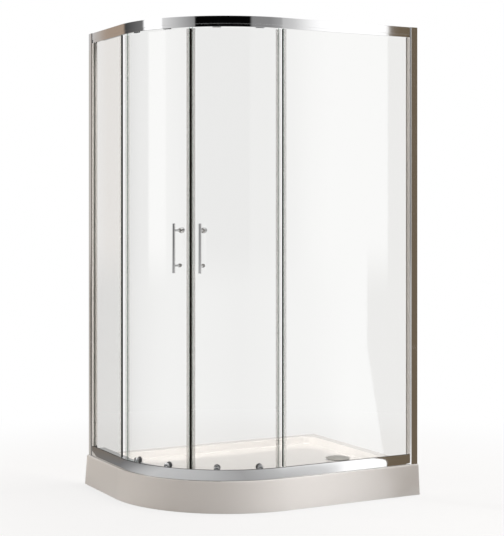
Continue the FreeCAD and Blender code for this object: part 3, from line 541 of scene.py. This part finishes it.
# %% A plan with rounded corners
def rounded_plane(name, low, high, z, corners, steps=48):
    """A level plane whose corners are rounded; CORNERS gives ((x side, y side), radius in mm)."""
    bpy.ops.object.select_all(action="DESELECT")
    middle_of = ((low[0] + high[0]) / 2, (low[1] + high[1]) / 2, z)
    bpy.ops.mesh.primitive_plane_add(size=1, location=middle_of)
    piece = bpy.context.object
    piece.name = name
    piece.scale = (high[0] - low[0], high[1] - low[1], 1)
    bpy.ops.object.transform_apply()
    bpy.ops.object.mode_set(mode="EDIT")
    for (x_side, y_side), radius in corners:
        spot = Vector((high[0] if x_side > 0 else low[0], high[1] if y_side > 0 else low[1], z))
        pick(piece, "verts", lambda vert: (vert.co - spot).length < MM)
        bpy.ops.mesh.bevel(offset=radius * MM, offset_type="OFFSET", segments=steps, profile=0.5,
                           affect="VERTICES")
    bpy.ops.mesh.select_mode(type="FACE")
    bpy.ops.mesh.select_all(action="SELECT")
    return piece


def step_in(thickness, depth):
    bpy.ops.mesh.inset(thickness=thickness * MM, depth=depth * MM, use_boundary=True)


def bevel_edges(offset, segments):
    """Round the selected edges."""
    bpy.ops.mesh.bevel(offset=offset * MM, offset_type="OFFSET", segments=segments, profile=0.5,
                       affect="EDGES")


# %% The leaning block, past both walls
SPARE = 0.04
FLARE, BASE_RADIUS, HEIGHT = 10, 545, 130
RIM_BEVEL, FLOOR_BEVEL, MOUTH_BEVEL = 5.55, 5.23, 3.49      # they give rounds of 6, 12 and 8 mm
tray = rounded_plane("tray", tray_low, (WALL_X + SPARE, WALL_Y + SPARE), 0,
                     [((-1, -1), BASE_RADIUS)], steps=72)
step_in(FLARE, HEIGHT)
pick(tray, "edges", lambda edge: min(vert.co.z for vert in edge.verts) > TRAY_TOP - MM)
bevel_edges(RIM_BEVEL, segments=6)
pick(tray, "verts", lambda vert: vert.co.z < MM)
bpy.ops.mesh.edge_face_add()
whole(tray)
print("block of", len(tray.data.polygons), "faces")

# %% The basin's tool: a wide mouth, sloping sides and a flat floor
RAIL_RIM, WALL_RIM, SLOPE, DEPTH, CORNER = 66, 45, 26, 28, 60
basin_floor = TRAY_TOP - DEPTH * MM
mouth_low = (LEFT + RAIL_RIM * MM, FRONT + RAIL_RIM * MM)
mouth_high = (WALL_X - WALL_RIM * MM, WALL_Y - WALL_RIM * MM)
basin = rounded_plane("basin", mouth_low, mouth_high, TRAY_TOP, [
    ((-1, -1), RADIUS / MM - RAIL_RIM), ((1, -1), CORNER), ((1, 1), CORNER), ((-1, 1), CORNER)],
    steps=24)
step_in(SLOPE, -DEPTH)
pick(basin, "edges", lambda edge: max(vert.co.z for vert in edge.verts) < basin_floor + MM)
bevel_edges(FLOOR_BEVEL, segments=5)
pick(basin, "edges", lambda edge: edge.is_boundary)
pull(z=20 * MM)
bpy.ops.mesh.edge_face_add()
whole(basin)
print("basin tool of", len(basin.data.polygons), "faces")


# %% Tools for the hollow, the waste hole and the pipe notch
def drill(place, radius, length, steps=64):
    """A round tool with its middle at PLACE, along the Z axis of PLACE."""
    bpy.ops.object.select_all(action="DESELECT")
    bpy.ops.mesh.primitive_cylinder_add(vertices=steps, radius=radius * MM, depth=length * MM)
    return put(bpy.context.object, place)


def block(low, high):
    bpy.ops.object.select_all(action="DESELECT")
    bpy.ops.mesh.primitive_cube_add(size=1)
    size = Matrix.Diagonal((*(high - low), 1))
    return put(bpy.context.object, Matrix.Translation((low + high) / 2) @ size)


SKIRT, VOID, WASTE_HOLE, NOTCH_SIDE, NOTCH_TOP = 9, 92, 44, 30, 82
hollow_low = tray_low.xy + Vector((FLARE + SKIRT, FLARE + SKIRT)) * MM
hollow_high = Vector((WALL_X, WALL_Y)) - Vector((SKIRT, SKIRT)) * MM
hollow = rounded_plane("hollow", hollow_low, hollow_high, -MM,
                       [((-1, -1), BASE_RADIUS - FLARE - SKIRT)])
pull(z=(VOID + 1) * MM)
whole(hollow)
flange_low, flange_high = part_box("waste_flange")
middle_xy = (flange_low.xy + flange_high.xy) / 2
waste = Matrix.Translation((*middle_xy, 0))
notch = block(Vector((middle_xy.x - NOTCH_SIDE * MM, WALL_Y - 20 * MM, -MM)),
              Vector((middle_xy.x + NOTCH_SIDE * MM, WALL_Y + 10 * MM, NOTCH_TOP * MM)))
print("waste at", waste.translation[:])

# %% Slice the tray at the walls, cut it and round its mouth
select_only(tray)
bpy.ops.object.mode_set(mode="EDIT")
for wall in (Vector((WALL_X, 0, 0)), Vector((0, WALL_Y, 0))):
    bpy.ops.mesh.select_all(action="SELECT")
    bpy.ops.mesh.bisect(plane_co=wall, plane_no=wall.normalized(), use_fill=True,
                        clear_outer=True)
bpy.ops.object.mode_set(mode="OBJECT")
for tool in (hollow, basin, drill(waste, WASTE_HOLE, 600), notch):
    cut(tray, tool)
bpy.ops.object.mode_set(mode="EDIT")
inner_low = Vector(mouth_low) - Vector((MM, MM))
inner_high = Vector(mouth_high) + Vector((MM, MM))


def on_mouth(edge):
    spot = middle(edge)
    return (min(vert.co.z for vert in edge.verts) > TRAY_TOP - 0.1 * MM
            and inner_low.x < spot.x < inner_high.x and inner_low.y < spot.y < inner_high.y)


pick(tray, "edges", on_mouth)
bevel_edges(MOUTH_BEVEL, segments=5)
whole(tray)
dress(tray, "tray_shell", smooth=32)

# %% [markdown]
# ## Fixed panes
#
# The fixed panes are flat: each is a block with its sharp edges taken off, and its narrow faces get
# the denser, greener look of a ground edge. The doors' bent panes come further on.


# %% Ground edges
def grind(pane, is_face_of_pane):
    """Take the sharp edges off a pane and give its narrow faces the finish of a ground edge."""
    round_edges(pane, 0.7, segments=1, over=60)
    pane.data.materials.append(FINISH["clear_glass"])
    pane.data.materials.append(GLASS_RIM)
    for face in pane.data.polygons:
        face.material_index = 0 if is_face_of_pane(face) else 1


# %% Fixed panes
for side, across in zip(SIDES, (1, 0)):
    node = "fixed_glass_" + side
    pane = block(*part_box(node))
    grind(pane, lambda face: abs(face.normal[across]) > 0.9)
    dress(pane, node, smooth=20)


# %% [markdown]
# ## Uprights
#
# A channel is screwed to each wall, and a post slides into it to take up a wall that leans. Both
# are drawn in plan and pulled up. The channel's face rolls inward at its free edge, and the post's
# face is a shallow crown, and so each shows a light line where a flat strip would show one flat
# tone. A dark lip of the same kind closes the gap between each fixed pane and its door. The
# corners of a plan are (mm along from the wall, mm inward).


# %% A profile that stands upright
def upright(name, side, plan, low, high):
    """Draw a plan beside one wall and pull it up."""
    piece = drawn_face(name, [on_side(side, along, inward, low) for along, inward in plan])
    pull(z=(high - low) * MM)
    return whole(piece)


def arc_points(start, end, rise, steps=6):
    """Points of a shallow arc between two plan points, which swells outward by RISE."""
    points = []
    for step in range(steps + 1):
        share = step / steps
        along = start[0] + (end[0] - start[0]) * share
        inward = start[1] + (end[1] - start[1]) * share - 4 * rise * share * (1 - share)
        points.append((along, inward))
    return points


# %% Plans of a channel and a post
FACE, WALL, ROLL, EDGE, BACK = -2, 1.6, 31, 38, 24
CHANNEL = [(0, FACE)] + arc_points((ROLL, FACE), (EDGE, -0.5), 0.2) + [
    (EDGE, -0.1), (ROLL, FACE + WALL), (WALL, FACE + WALL), (WALL, BACK - WALL),
    (EDGE, BACK - WALL), (EDGE, BACK), (0, BACK)]
POST_START, POST_END, WEB, JAW, POST_BACK = 8, 50, 39.6, 12, 22
POST_PLAN = [(POST_START, 0), (38.1, 0)] + arc_points((38.1, -0.3), (POST_END, 0.5), 0.5) + [
    (POST_END, WALL), (WEB, WALL), (WEB, JAW), (49.2, JAW), (49.9, 12.4), (49.9, 13.2),
    (49.2, JAW + WALL), (WEB, JAW + WALL), (WEB, POST_BACK), (POST_START, POST_BACK),
    (POST_START, POST_BACK - WALL), (WEB - WALL, POST_BACK - WALL), (WEB - WALL, WALL),
    (POST_START, WALL)]
print("channel of", len(CHANNEL), "corners, post of", len(POST_PLAN))

# %% Wall channels, with two screw holes each, and posts
SCREW_HEIGHTS, SCREW_INWARD, SCREW_RADIUS = (150, 1750), 11, 3
for side in SIDES:
    channel = upright("channel", side, CHANNEL, 0, HEAD_TOP)
    to_wall = Matrix.Rotation(math.radians(90), 4, "Y") if side == "right" else INWARD
    for height in SCREW_HEIGHTS:
        spot = Matrix.Translation(on_side(side, 0, SCREW_INWARD, height))
        cut(channel, drill(spot @ to_wall, SCREW_RADIUS, 10, steps=24))
    round_edges(channel, EASE, over=50)
    dress(channel, "wall_channel_" + side)
    post = upright("post", side, POST_PLAN, SILL_HEIGHT, HEAD_LIP)
    round_edges(post, EASE, over=50)
    dress(post, "post_" + side, finish=FINISH["satin"])

# %% Dark lips
LIP = [(3.2, 6.0), (3.2, 6.8), (2.1, 7.0), (1.6, 9.4), (1.0, 10.8), (0.4, 10.5), (0.8, 9.2),
       (0.8, 3.3), (1.2, 2.9), (1.8, 2.9), (2.1, 3.3), (2.1, 6.0)]
lip_low, lip_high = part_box("overlap_lip_right")
lip = drawn_face("lip", [Vector((CENTRE.x + across * MM, FRONT + inward * MM, lip_low.z))
                         for across, inward in LIP])
pull(z=lip_high.z - lip_low.z)
dress_pair(whole(lip), "overlap_lip")


# %% [markdown]
# ## Doors
#
# A door's pane is bent round the corner. Its section is drawn where the pane starts, swept round
# the corner's middle and drilled for the handle and the lower wheels. The left door is a mirror
# image.


# %% The curved pane
def to_middle(spot):
    """The level direction from a point to the middle of the round corner."""
    return (CENTRE - spot).xy.normalized()


DOOR_START, DOOR_END, PANE_OUT, PANE_IN, PANE_LOW, PANE_HIGH = 0.5, 44.3, 26, 32, 36, 1866
section = [station(DOOR_START, inward, height).translation for inward, height in
           ((PANE_OUT, PANE_LOW), (PANE_OUT, PANE_HIGH), (PANE_IN, PANE_HIGH), (PANE_IN, PANE_LOW))]
door = drawn_face("door_glass", section)
sweep(DOOR_END - DOOR_START, 48)
whole(door)
grind(door, lambda face: abs(face.normal.xy.dot(to_middle(face.center))) > 0.9)

# %% Its holes
STATIONS, HANDLE_ANGLE, HANDLE_HEIGHT, HANDLE_REACH = (10.5, 32), 38.9, 950, 72.5
LOW_AXLE, TOP_AXLE, HOLE_RADIUS = 47, 1882, 5
FIXINGS = (HANDLE_HEIGHT + HANDLE_REACH, HANDLE_HEIGHT - HANDLE_REACH)
holes = [(HANDLE_ANGLE, height) for height in FIXINGS] + [(angle, LOW_AXLE) for angle in STATIONS]
for angle, height in holes:
    in_pane = station(angle, (PANE_OUT + PANE_IN) / 2, height)
    cut(door, drill(in_pane @ INWARD, HOLE_RADIUS, 20, steps=32))
dress_pair(door, "door_glass", smooth=20)

# %% [markdown]
# ## Handles
#
# On each door a slim round bar stands off the glass on two posts. Inside, the upper post ends in a
# round knob to pull by, the lower one in a small cap. All are turned parts, so each is a section on
# a lathe, of (mm inward, radius) corners: the bar with rounded ends, the posts with a collar where
# they press on the glass and a stud through it.

# %% Handle bar
STAND_OFF, BAR_RADIUS, BAR_LENGTH = -24, 6, 204
half = BAR_LENGTH / 2
bar = turned("bar", [(-half, 0), (-half, 4.2), (-half + 0.4, 5.2), (-half + 1.2, BAR_RADIUS),
                     (half - 1.2, BAR_RADIUS), (half - 0.4, 5.2), (half, 4.2), (half, 0)],
             steps=40)
put(bar, station(HANDLE_ANGLE, STAND_OFF, HANDLE_HEIGHT))
round_edges(bar, 0.4, over=25)
dress_pair(bar, "handle_bar")

# %% Handle posts
POST = [(STAND_OFF, 0), (STAND_OFF, 4.6), (-17, 4.6), (14, 4.6), (16.5, 5.0), (24.6, 5.0),
        (24.6, 3),
        (40, 3), (40, 0)]
posts = [put(turned("post", POST, steps=36), station(HANDLE_ANGLE, 0, height) @ INWARD)
         for height in FIXINGS]
dress_pair(joined(posts), "handle_posts")

# %% Knob and cap on the inside
KNOB = [(41.4, 0), (41.4, 3.1), (33.4, 3.1), (33.4, 7.5), (41.4, 6.2), (44, 7.6), (46.6, 11.6),
        (48.4, 12.5), (55.4, 12.5), (56.9, 11.7), (57.4, 10.2), (57.4, 4), (56.9, 0)]
CAP = [(41.4, 0), (41.4, 3.1), (33.4, 3.1), (33.4, 7.5), (40.2, 7.5), (41.8, 6.6), (42.4, 4.6),
       (42.4, 0)]
fixings = [put(turned("fixing", profile), station(HANDLE_ANGLE, 0, height) @ INWARD)
           for profile, height in zip((KNOB, CAP), FIXINGS)]
for fixing in fixings:
    round_edges(fixing, 0.5, over=28)
dress_pair(joined(fixings), "inner_knobs")

# %% [markdown]
# ## Wheels and their caps
#
# Each door hangs from two small nylon wheels and is guided by two larger ones in the sill. A bright
# cap with a recessed middle covers each lower pin outside the glass, and these four caps show just
# above the sill. A wheel is turned with a shallow groove in its tread and a dished face.


# %% Wheels
def wheel(radius):
    """A wheel's section, for its radius in mm."""
    return [(42, 2.56), (42, 4.6), (42.8, 5.2), (42.8, radius * 0.72), (42, radius * 0.78),
            (42, radius - 1), (43, radius), (44.2, radius), (44.6, radius - 0.4),
            (45.4, radius - 0.4), (45.8, radius), (47, radius), (48, radius - 1),
            (48, radius * 0.75), (46.5, radius * 0.7), (46.5, 5), (48, 4.6), (48, 2.56)]


TOP_WHEEL, LOW_WHEEL = 9.9, 13.9
for place, angle in zip(("trailing", "leading"), STATIONS):
    for level, radius, height in (("top", TOP_WHEEL, TOP_AXLE), ("low", LOW_WHEEL, LOW_AXLE)):
        made = put(turned("wheel", wheel(radius)), station(angle, 0, height) @ INWARD)
        dress_pair(made, "%s_wheel_%s" % (level, place))

# %% Caps over the lower pins
COVER = [(26, 2.56), (26, 11.4), (25.4, 12), (23.5, 12), (22.1, 11.2), (21.2, 9.2), (21, 6.2),
         (21.3, 5.2), (23.2, 4.8), (23.2, 2.56)]
caps = [put(turned("cap", COVER), station(angle, 0, LOW_AXLE) @ INWARD) for angle in STATIONS]
dress_pair(joined(caps), "low_caps")

# %% [markdown]
# ## Waste cover
#
# A shallow dome, dulled by use, covers the waste and lifts out. It is turned from the same arc as
# the frame's dome, with a rolled rim and a flat button in the middle.

# %% The dome
cover_low, cover_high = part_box("waste_cover")
rim = (cover_high.x - cover_low.x) / 2 / MM
rise = (cover_high.z - cover_low.z) / MM
RIM_HEIGHT, SWELL = 1, 9
cap = [(0, 0), (0, rim - 4), (0.35, rim - 1.2), (RIM_HEIGHT, rim), (1.8, rim - 1.2)]
arc = (rim ** 2 + SWELL ** 2) / (2 * SWELL)
for reach in (48, 40, 32, 24, 17, 13):
    cap.append((RIM_HEIGHT + SWELL - (arc - math.sqrt(arc ** 2 - reach ** 2)), reach))
cap += [(rise - 0.5, 11.6), (rise, 10.8), (rise, 0)]
dome = put(turned("dome", cap, steps=96), waste @ Matrix.Translation((0, 0, cover_low.z)))
dress(dome, "waste_cover", finish=FINISH["dulled"], smooth=40)

# %% [markdown]
# ## Parts that keep their frame shape
#
# The seals, hangers, legs and the trap below the tray are right as they came. They are left in
# place and given their finish. On those with sharp corners three live modifiers soften them: a
# weld, because such a mesh arrives as loose triangles, one that joins flat triangles, and a fine
# bevel.

# %% Finish and soften the rest
SOFT = {"waste_flange": 0.6, "waste_body": 0.6, "tray_legs": 0.6, "tray_foot_pads": 0.8,
        "waste_outlet_nut": 0.8, "frame_screws": 0.3, "end_brackets": 0.4, "tray_base_board": 1.0,
        "door_stops": 0.6}


def soften(piece, width):
    """Soften sharp corners by WIDTH mm with live modifiers."""
    weld = piece.modifiers.new("Weld", "WELD")
    weld.merge_threshold = 0.01 * MM
    flat = piece.modifiers.new("Flat", "DECIMATE")
    flat.decimate_type = "DISSOLVE"
    flat.angle_limit = math.radians(0.5)
    edge = piece.modifiers.new("Edge", "BEVEL")
    edge.width = width * MM
    edge.segments = 2
    edge.limit_method = "ANGLE"
    edge.angle_limit = math.radians(50)


kept = [node for node, piece in frame["nodes"].items() if not piece.hide_render]
for node in kept:
    piece = frame["nodes"][node]
    for slot in piece.material_slots:
        slot.link = "OBJECT"
        slot.material = FINISH["milky_seal" if "gasket_" in node else SLOT_OF[node]]
    family = node.replace("_right", "").replace("_left", "")
    if family in SOFT:
        soften(piece, SOFT[family])
print(len(kept), "parts keep their frame shape")

# %% [markdown]
# ## Camera
#
# The view is the usual catalogue one: from the left of the front, at a little over waist height,
# with a long lens. The camera is held level so that all uprights stay upright, and its lens is
# shifted down to take in the tray.

# %% Camera
FOCAL, SENSOR, SHIFT_DOWN = 90.45, 36, -0.1135
EYE, TILT, TURN = (-2.7989, -5.2674, 1.2480), 90, -28.104
lens = bpy.data.cameras.new("camera")
lens.lens, lens.sensor_width, lens.sensor_fit = FOCAL, SENSOR, "AUTO"
lens.shift_y = SHIFT_DOWN
camera = bpy.data.objects.new("camera", lens)
camera.location = EYE
camera.rotation_euler = (math.radians(TILT), 0, math.radians(TURN))
bpy.context.scene.collection.objects.link(camera)
bpy.context.scene.camera = camera
print("camera at", camera.location[:])

# %% [markdown]
# ## Studio
#
# The floor is pale and lit near the tray, where it keeps the shadow, and plain white further out.
# The world is white to the eye, and gives only a faint warm fill to the surfaces.


# %% Rays that should see plain white
def seen_directly(paint):
    """1 for camera, glossy and transmission rays, and 0 for the light that falls on things."""
    rays = [paint.node("LightPath", out="Is %s Ray" % kind)
            for kind in ("Camera", "Glossy", "Transmission")]
    return (rays[0] + rays[1] + rays[2]) > 0.5


def stage_object(name, material):
    """Name the object just made and paint it."""
    piece = bpy.context.object
    piece.name = piece.data.name = name
    piece.data.materials.append(material)
    return piece


# %% World
FILL_LIGHT, FILL_TONE = 0.125, (1.0, 0.82, 0.68)
world = bpy.data.worlds.new("studio")
bpy.context.scene.world = world
sky = Paint(world, "OutputWorld")
direct = seen_directly(sky)
sky.finish(sky.node("Background", {}, {
    "Color": sky.colour(direct, FILL_TONE, (1, 1, 1)),
    "Strength": direct + (1 - direct) * FILL_LIGHT}))

# %% Floor
NEAR_WHITE, FADE_START, FADE_END, FLOOR_RADIUS = 0.76, 0.9, 2.4, 30
floor_paint = new_paint("floor")
reach = floor_paint.node("VectorMath", {"operation": "LENGTH"}, {0: floor_paint.place()},
                         out="Value")
far = floor_paint.node("MapRange", {"interpolation_type": "SMOOTHSTEP"}, {
    "Value": reach, "From Min": FADE_START, "From Max": FADE_END})
lit = floor_paint.principled({"Base Color": (0.62, 0.61, 0.60, 1), "Roughness": 0.9})
white = floor_paint.node("Emission", {}, {"Color": (1, 1, 1, 1), "Strength": 1.0})
veil = NEAR_WHITE + (1 - NEAR_WHITE) * far
floor_paint.finish(floor_paint.node("MixShader", {}, {
    0: veil * seen_directly(floor_paint), 1: lit, 2: white}))
bpy.ops.object.select_all(action="DESELECT")
bpy.ops.mesh.primitive_circle_add(vertices=96, radius=FLOOR_RADIUS, fill_type="NGON",
                                  location=(0, 0, -2 * MM))
bpy.ops.object.transform_apply()
stage_object("floor", floor_paint.owner)

# %% [markdown]
# ## What the metal mirrors
#
# Polished metal shows what is round it more than itself, so the studio needs something to mirror:
# a ring of grey, white and black panels far outside the light on the object, and a floor with
# broad tones of its own, which only mirrored rays see. The ring's foot takes the floor's tones. A
# tone is found from the bearing on the round corner's middle, in degrees: 0 is straight out from
# the front, 90 to the right and -90 to the left.

# %% Tones of the ring, and of the floor as metal mirrors it
WARM, OLIVE = (0.41, 0.32, 0.25), (0.167, 0.130, 0.089)


def grey(tone):
    return (tone, tone, tone)


PANELS = [(-180, grey(0.8)), (-158, grey(1.0)), (-155.85, grey(0.6)), (-155.72, WARM),
          (-148, WARM), (-143, grey(0.06)), (-129, grey(0.12)), (-115, grey(0.18)),
          (-112, grey(1.3)), (-92, grey(1.3)), (-90, grey(0.78)), (-57.5, grey(0.28)),
          (-57, grey(0.002)), (-4.6, grey(0.002)), (-4, grey(0.27)), (14, grey(0.28)),
          (26, grey(0.42)), (28.2, grey(0.68)), (30.2, grey(1.3)), (44, grey(1.3)),
          (52, grey(1.0)), (80, grey(1.0)), (84, grey(0.25)), (110, grey(0.35)),
          (114, grey(0.55)), (176, grey(0.55))]
FLOOR_TONES = [(-180, grey(0.4)), (-160, (0.15, 0.125, 0.10)), (-150, (0.20, 0.17, 0.14)),
               (-130, grey(0.20)), (-116, grey(0.30)), (-100, grey(0.5)), (-85, grey(0.62)),
               (-43, grey(0.53)), (-14, grey(0.40)), (15, grey(0.56)), (27, grey(0.74)),
               (29.5, grey(0.92)), (32, grey(1.3)), (44, grey(1.3)), (52, grey(0.8)),
               (140, grey(0.8)), (150, grey(0.4))]
print(len(PANELS), "stops on the ring,", len(FLOOR_TONES), "on the mirrored floor")


# %% A tone from the bearing
def level_place(paint):
    """Where a point is in plan, as two wires."""
    x = paint.node("SeparateXYZ", {}, {0: paint.place()}, out="X")
    return x, Wire(paint, x.socket.node.outputs["Y"])


def height_of(paint):
    return paint.node("SeparateXYZ", {}, {0: paint.place()}, out="Z")


def bearing(paint):
    """Turn round the corner's middle, from 0 to 1; a half is straight out from the front."""
    x, y = level_place(paint)
    turn = paint.node("Math", {"operation": "ARCTAN2"}, {0: x - CENTRE.x, 1: CENTRE.y - y})
    return turn / math.tau + 0.5


def tones(paint, stops):
    return paint.node("ValToRGB", {"stops": [(angle / 360 + 0.5, tone) for angle, tone in stops]},
                      {"Fac": bearing(paint)})


# %% [markdown]
# ## A drape and a board
#
# A dark olive drape stands at the right. Its edge runs straight out from the spot on the front
# rails that mirrors it to the camera, and so it shows there as an upright line. The sill's crown
# bends that view a little, and so the drape's foot has a line of its own. A narrow pale board
# stands at the back left, where only the left wall channel mirrors it.


# %% The drape and the board, as masks over a tone
DRAPE_EDGES = {"head": (0.4517, math.radians(33.9)), "foot": (0.467, math.radians(32.1))}
DRAPE_LIMIT = 46
BOARD_EDGE, BOARD_WIDTH, BOARD_TOP = (LEFT, 0.412, math.radians(21.36)), 0.1, 2.7
BOARD_TONE, LEFT_SIDE = (0.60, 0.57, 0.53), 0.25


def beyond(paint, x_start, y_start, turn):
    """Distance to the right of a line on the floor that starts at a spot and runs to the front."""
    x, y = level_place(paint)
    return (x - x_start) * math.cos(turn) + (y - y_start) * math.sin(turn)


def with_board(paint, tone):
    """Stand the pale board in front of a tone."""
    past = beyond(paint, *BOARD_EDGE)
    there = ((past > 0) * ((BOARD_WIDTH - past) > 0) * ((LEFT_SIDE - bearing(paint)) > 0)
             * ((BOARD_TOP - height_of(paint)) > 0))
    return paint.colour(there, tone, BOARD_TONE)


def with_drape(paint, tone, edge):
    """Hang the drape over a tone: right of its edge, up to a limit on the bearing."""
    x_start, turn = DRAPE_EDGES[edge]
    beside = beyond(paint, x_start, FRONT, turn)
    to_right = bearing(paint) - 0.5
    inside = (to_right > 0) * ((DRAPE_LIMIT / 360 - to_right) > 0)
    return paint.colour((beside > 0) * inside, tone, OLIVE)


# %% Ring of panels
def only_mirrored(piece):
    """Hide a stage object from all rays but mirrored ones."""
    piece.visible_camera = piece.visible_diffuse = piece.visible_shadow = False
    piece.visible_transmission = piece.visible_volume_scatter = False


RING_RADIUS, RING_HEIGHT, PANEL_FOOT, PANEL_FULL = 7, 6, 0.4, 1.0
ring_paint = new_paint("panels")
above = ring_paint.node("MapRange", {"interpolation_type": "SMOOTHSTEP"}, {
    "Value": height_of(ring_paint), "From Min": PANEL_FOOT, "From Max": PANEL_FULL})
foot_tone = with_drape(ring_paint, tones(ring_paint, FLOOR_TONES), "foot")
head_tone = with_drape(ring_paint, tones(ring_paint, PANELS), "head")
ring_tone = with_board(ring_paint, ring_paint.colour(above, foot_tone, head_tone))
ring_paint.finish(ring_paint.node("Emission", {}, {"Color": ring_tone}))
bpy.ops.object.select_all(action="DESELECT")
bpy.ops.mesh.primitive_cylinder_add(vertices=128, radius=RING_RADIUS, depth=RING_HEIGHT,
                                    end_fill_type="NOTHING",
                                    location=(CENTRE.x, CENTRE.y, RING_HEIGHT / 2))
bpy.ops.object.transform_apply()
only_mirrored(stage_object("panels", ring_paint.owner))

# %% The floor as metal mirrors it
glint = new_paint("mirrored_floor")
floor_tone = with_board(glint, with_drape(glint, tones(glint, FLOOR_TONES), "foot"))
glint.finish(glint.node("Emission", {}, {"Color": floor_tone}))
bpy.ops.object.select_all(action="DESELECT")
bpy.ops.mesh.primitive_circle_add(vertices=128, radius=RING_RADIUS, fill_type="NGON",
                                  location=(CENTRE.x, CENTRE.y, -MM))
bpy.ops.object.transform_apply()
only_mirrored(stage_object("mirrored_floor", glint.owner))

# %% [markdown]
# ## Lamps
#
# A large soft lamp hangs over the tray and lights its basin, a low one in front lights the skirt,
# and a warm one at the left side rounds the corner off. Metal and glass don't mirror them.


# %% Lamps
def lamp(name, kind, place, aim, power, **settings):
    """A soft lamp that shines from PLACE to AIM and is not mirrored itself."""
    light = bpy.data.lights.new(name, kind)
    light.energy = power
    for key, value in settings.items():
        setattr(light, key, value)
    made = bpy.data.objects.new(name, light)
    made.location = place
    made.rotation_euler = (Vector(aim) - Vector(place)).to_track_quat("-Z", "Y").to_euler()
    made.visible_glossy = False
    bpy.context.scene.collection.objects.link(made)
    print(name, "of", power, "W")


lamp("front lamp", "SPOT", (1.0, -2.0, 0.45), (0.0, -0.45, 0.10), 72,
     spot_size=math.radians(28), spot_blend=1.0, shadow_soft_size=0.25)
lamp("top lamp", "AREA", (0.45, -0.25, 4.5), (0, 0, 0), 262, size=2.5, color=(1, 0.975, 0.95))
lamp("side lamp", "AREA", (-4.5, 2.6, 1.4), (-0.5, 0.3, 0.1), 95, size=1.2,
     color=(1, 0.95, 0.89))

# %% [markdown]
# ## Size and finish
#
# The picture is shown as it is written, with the standard view.

# %% View and finish
bpy.context.scene.view_settings.view_transform = "Standard"
bpy.ops.object.select_all(action="DESELECT")
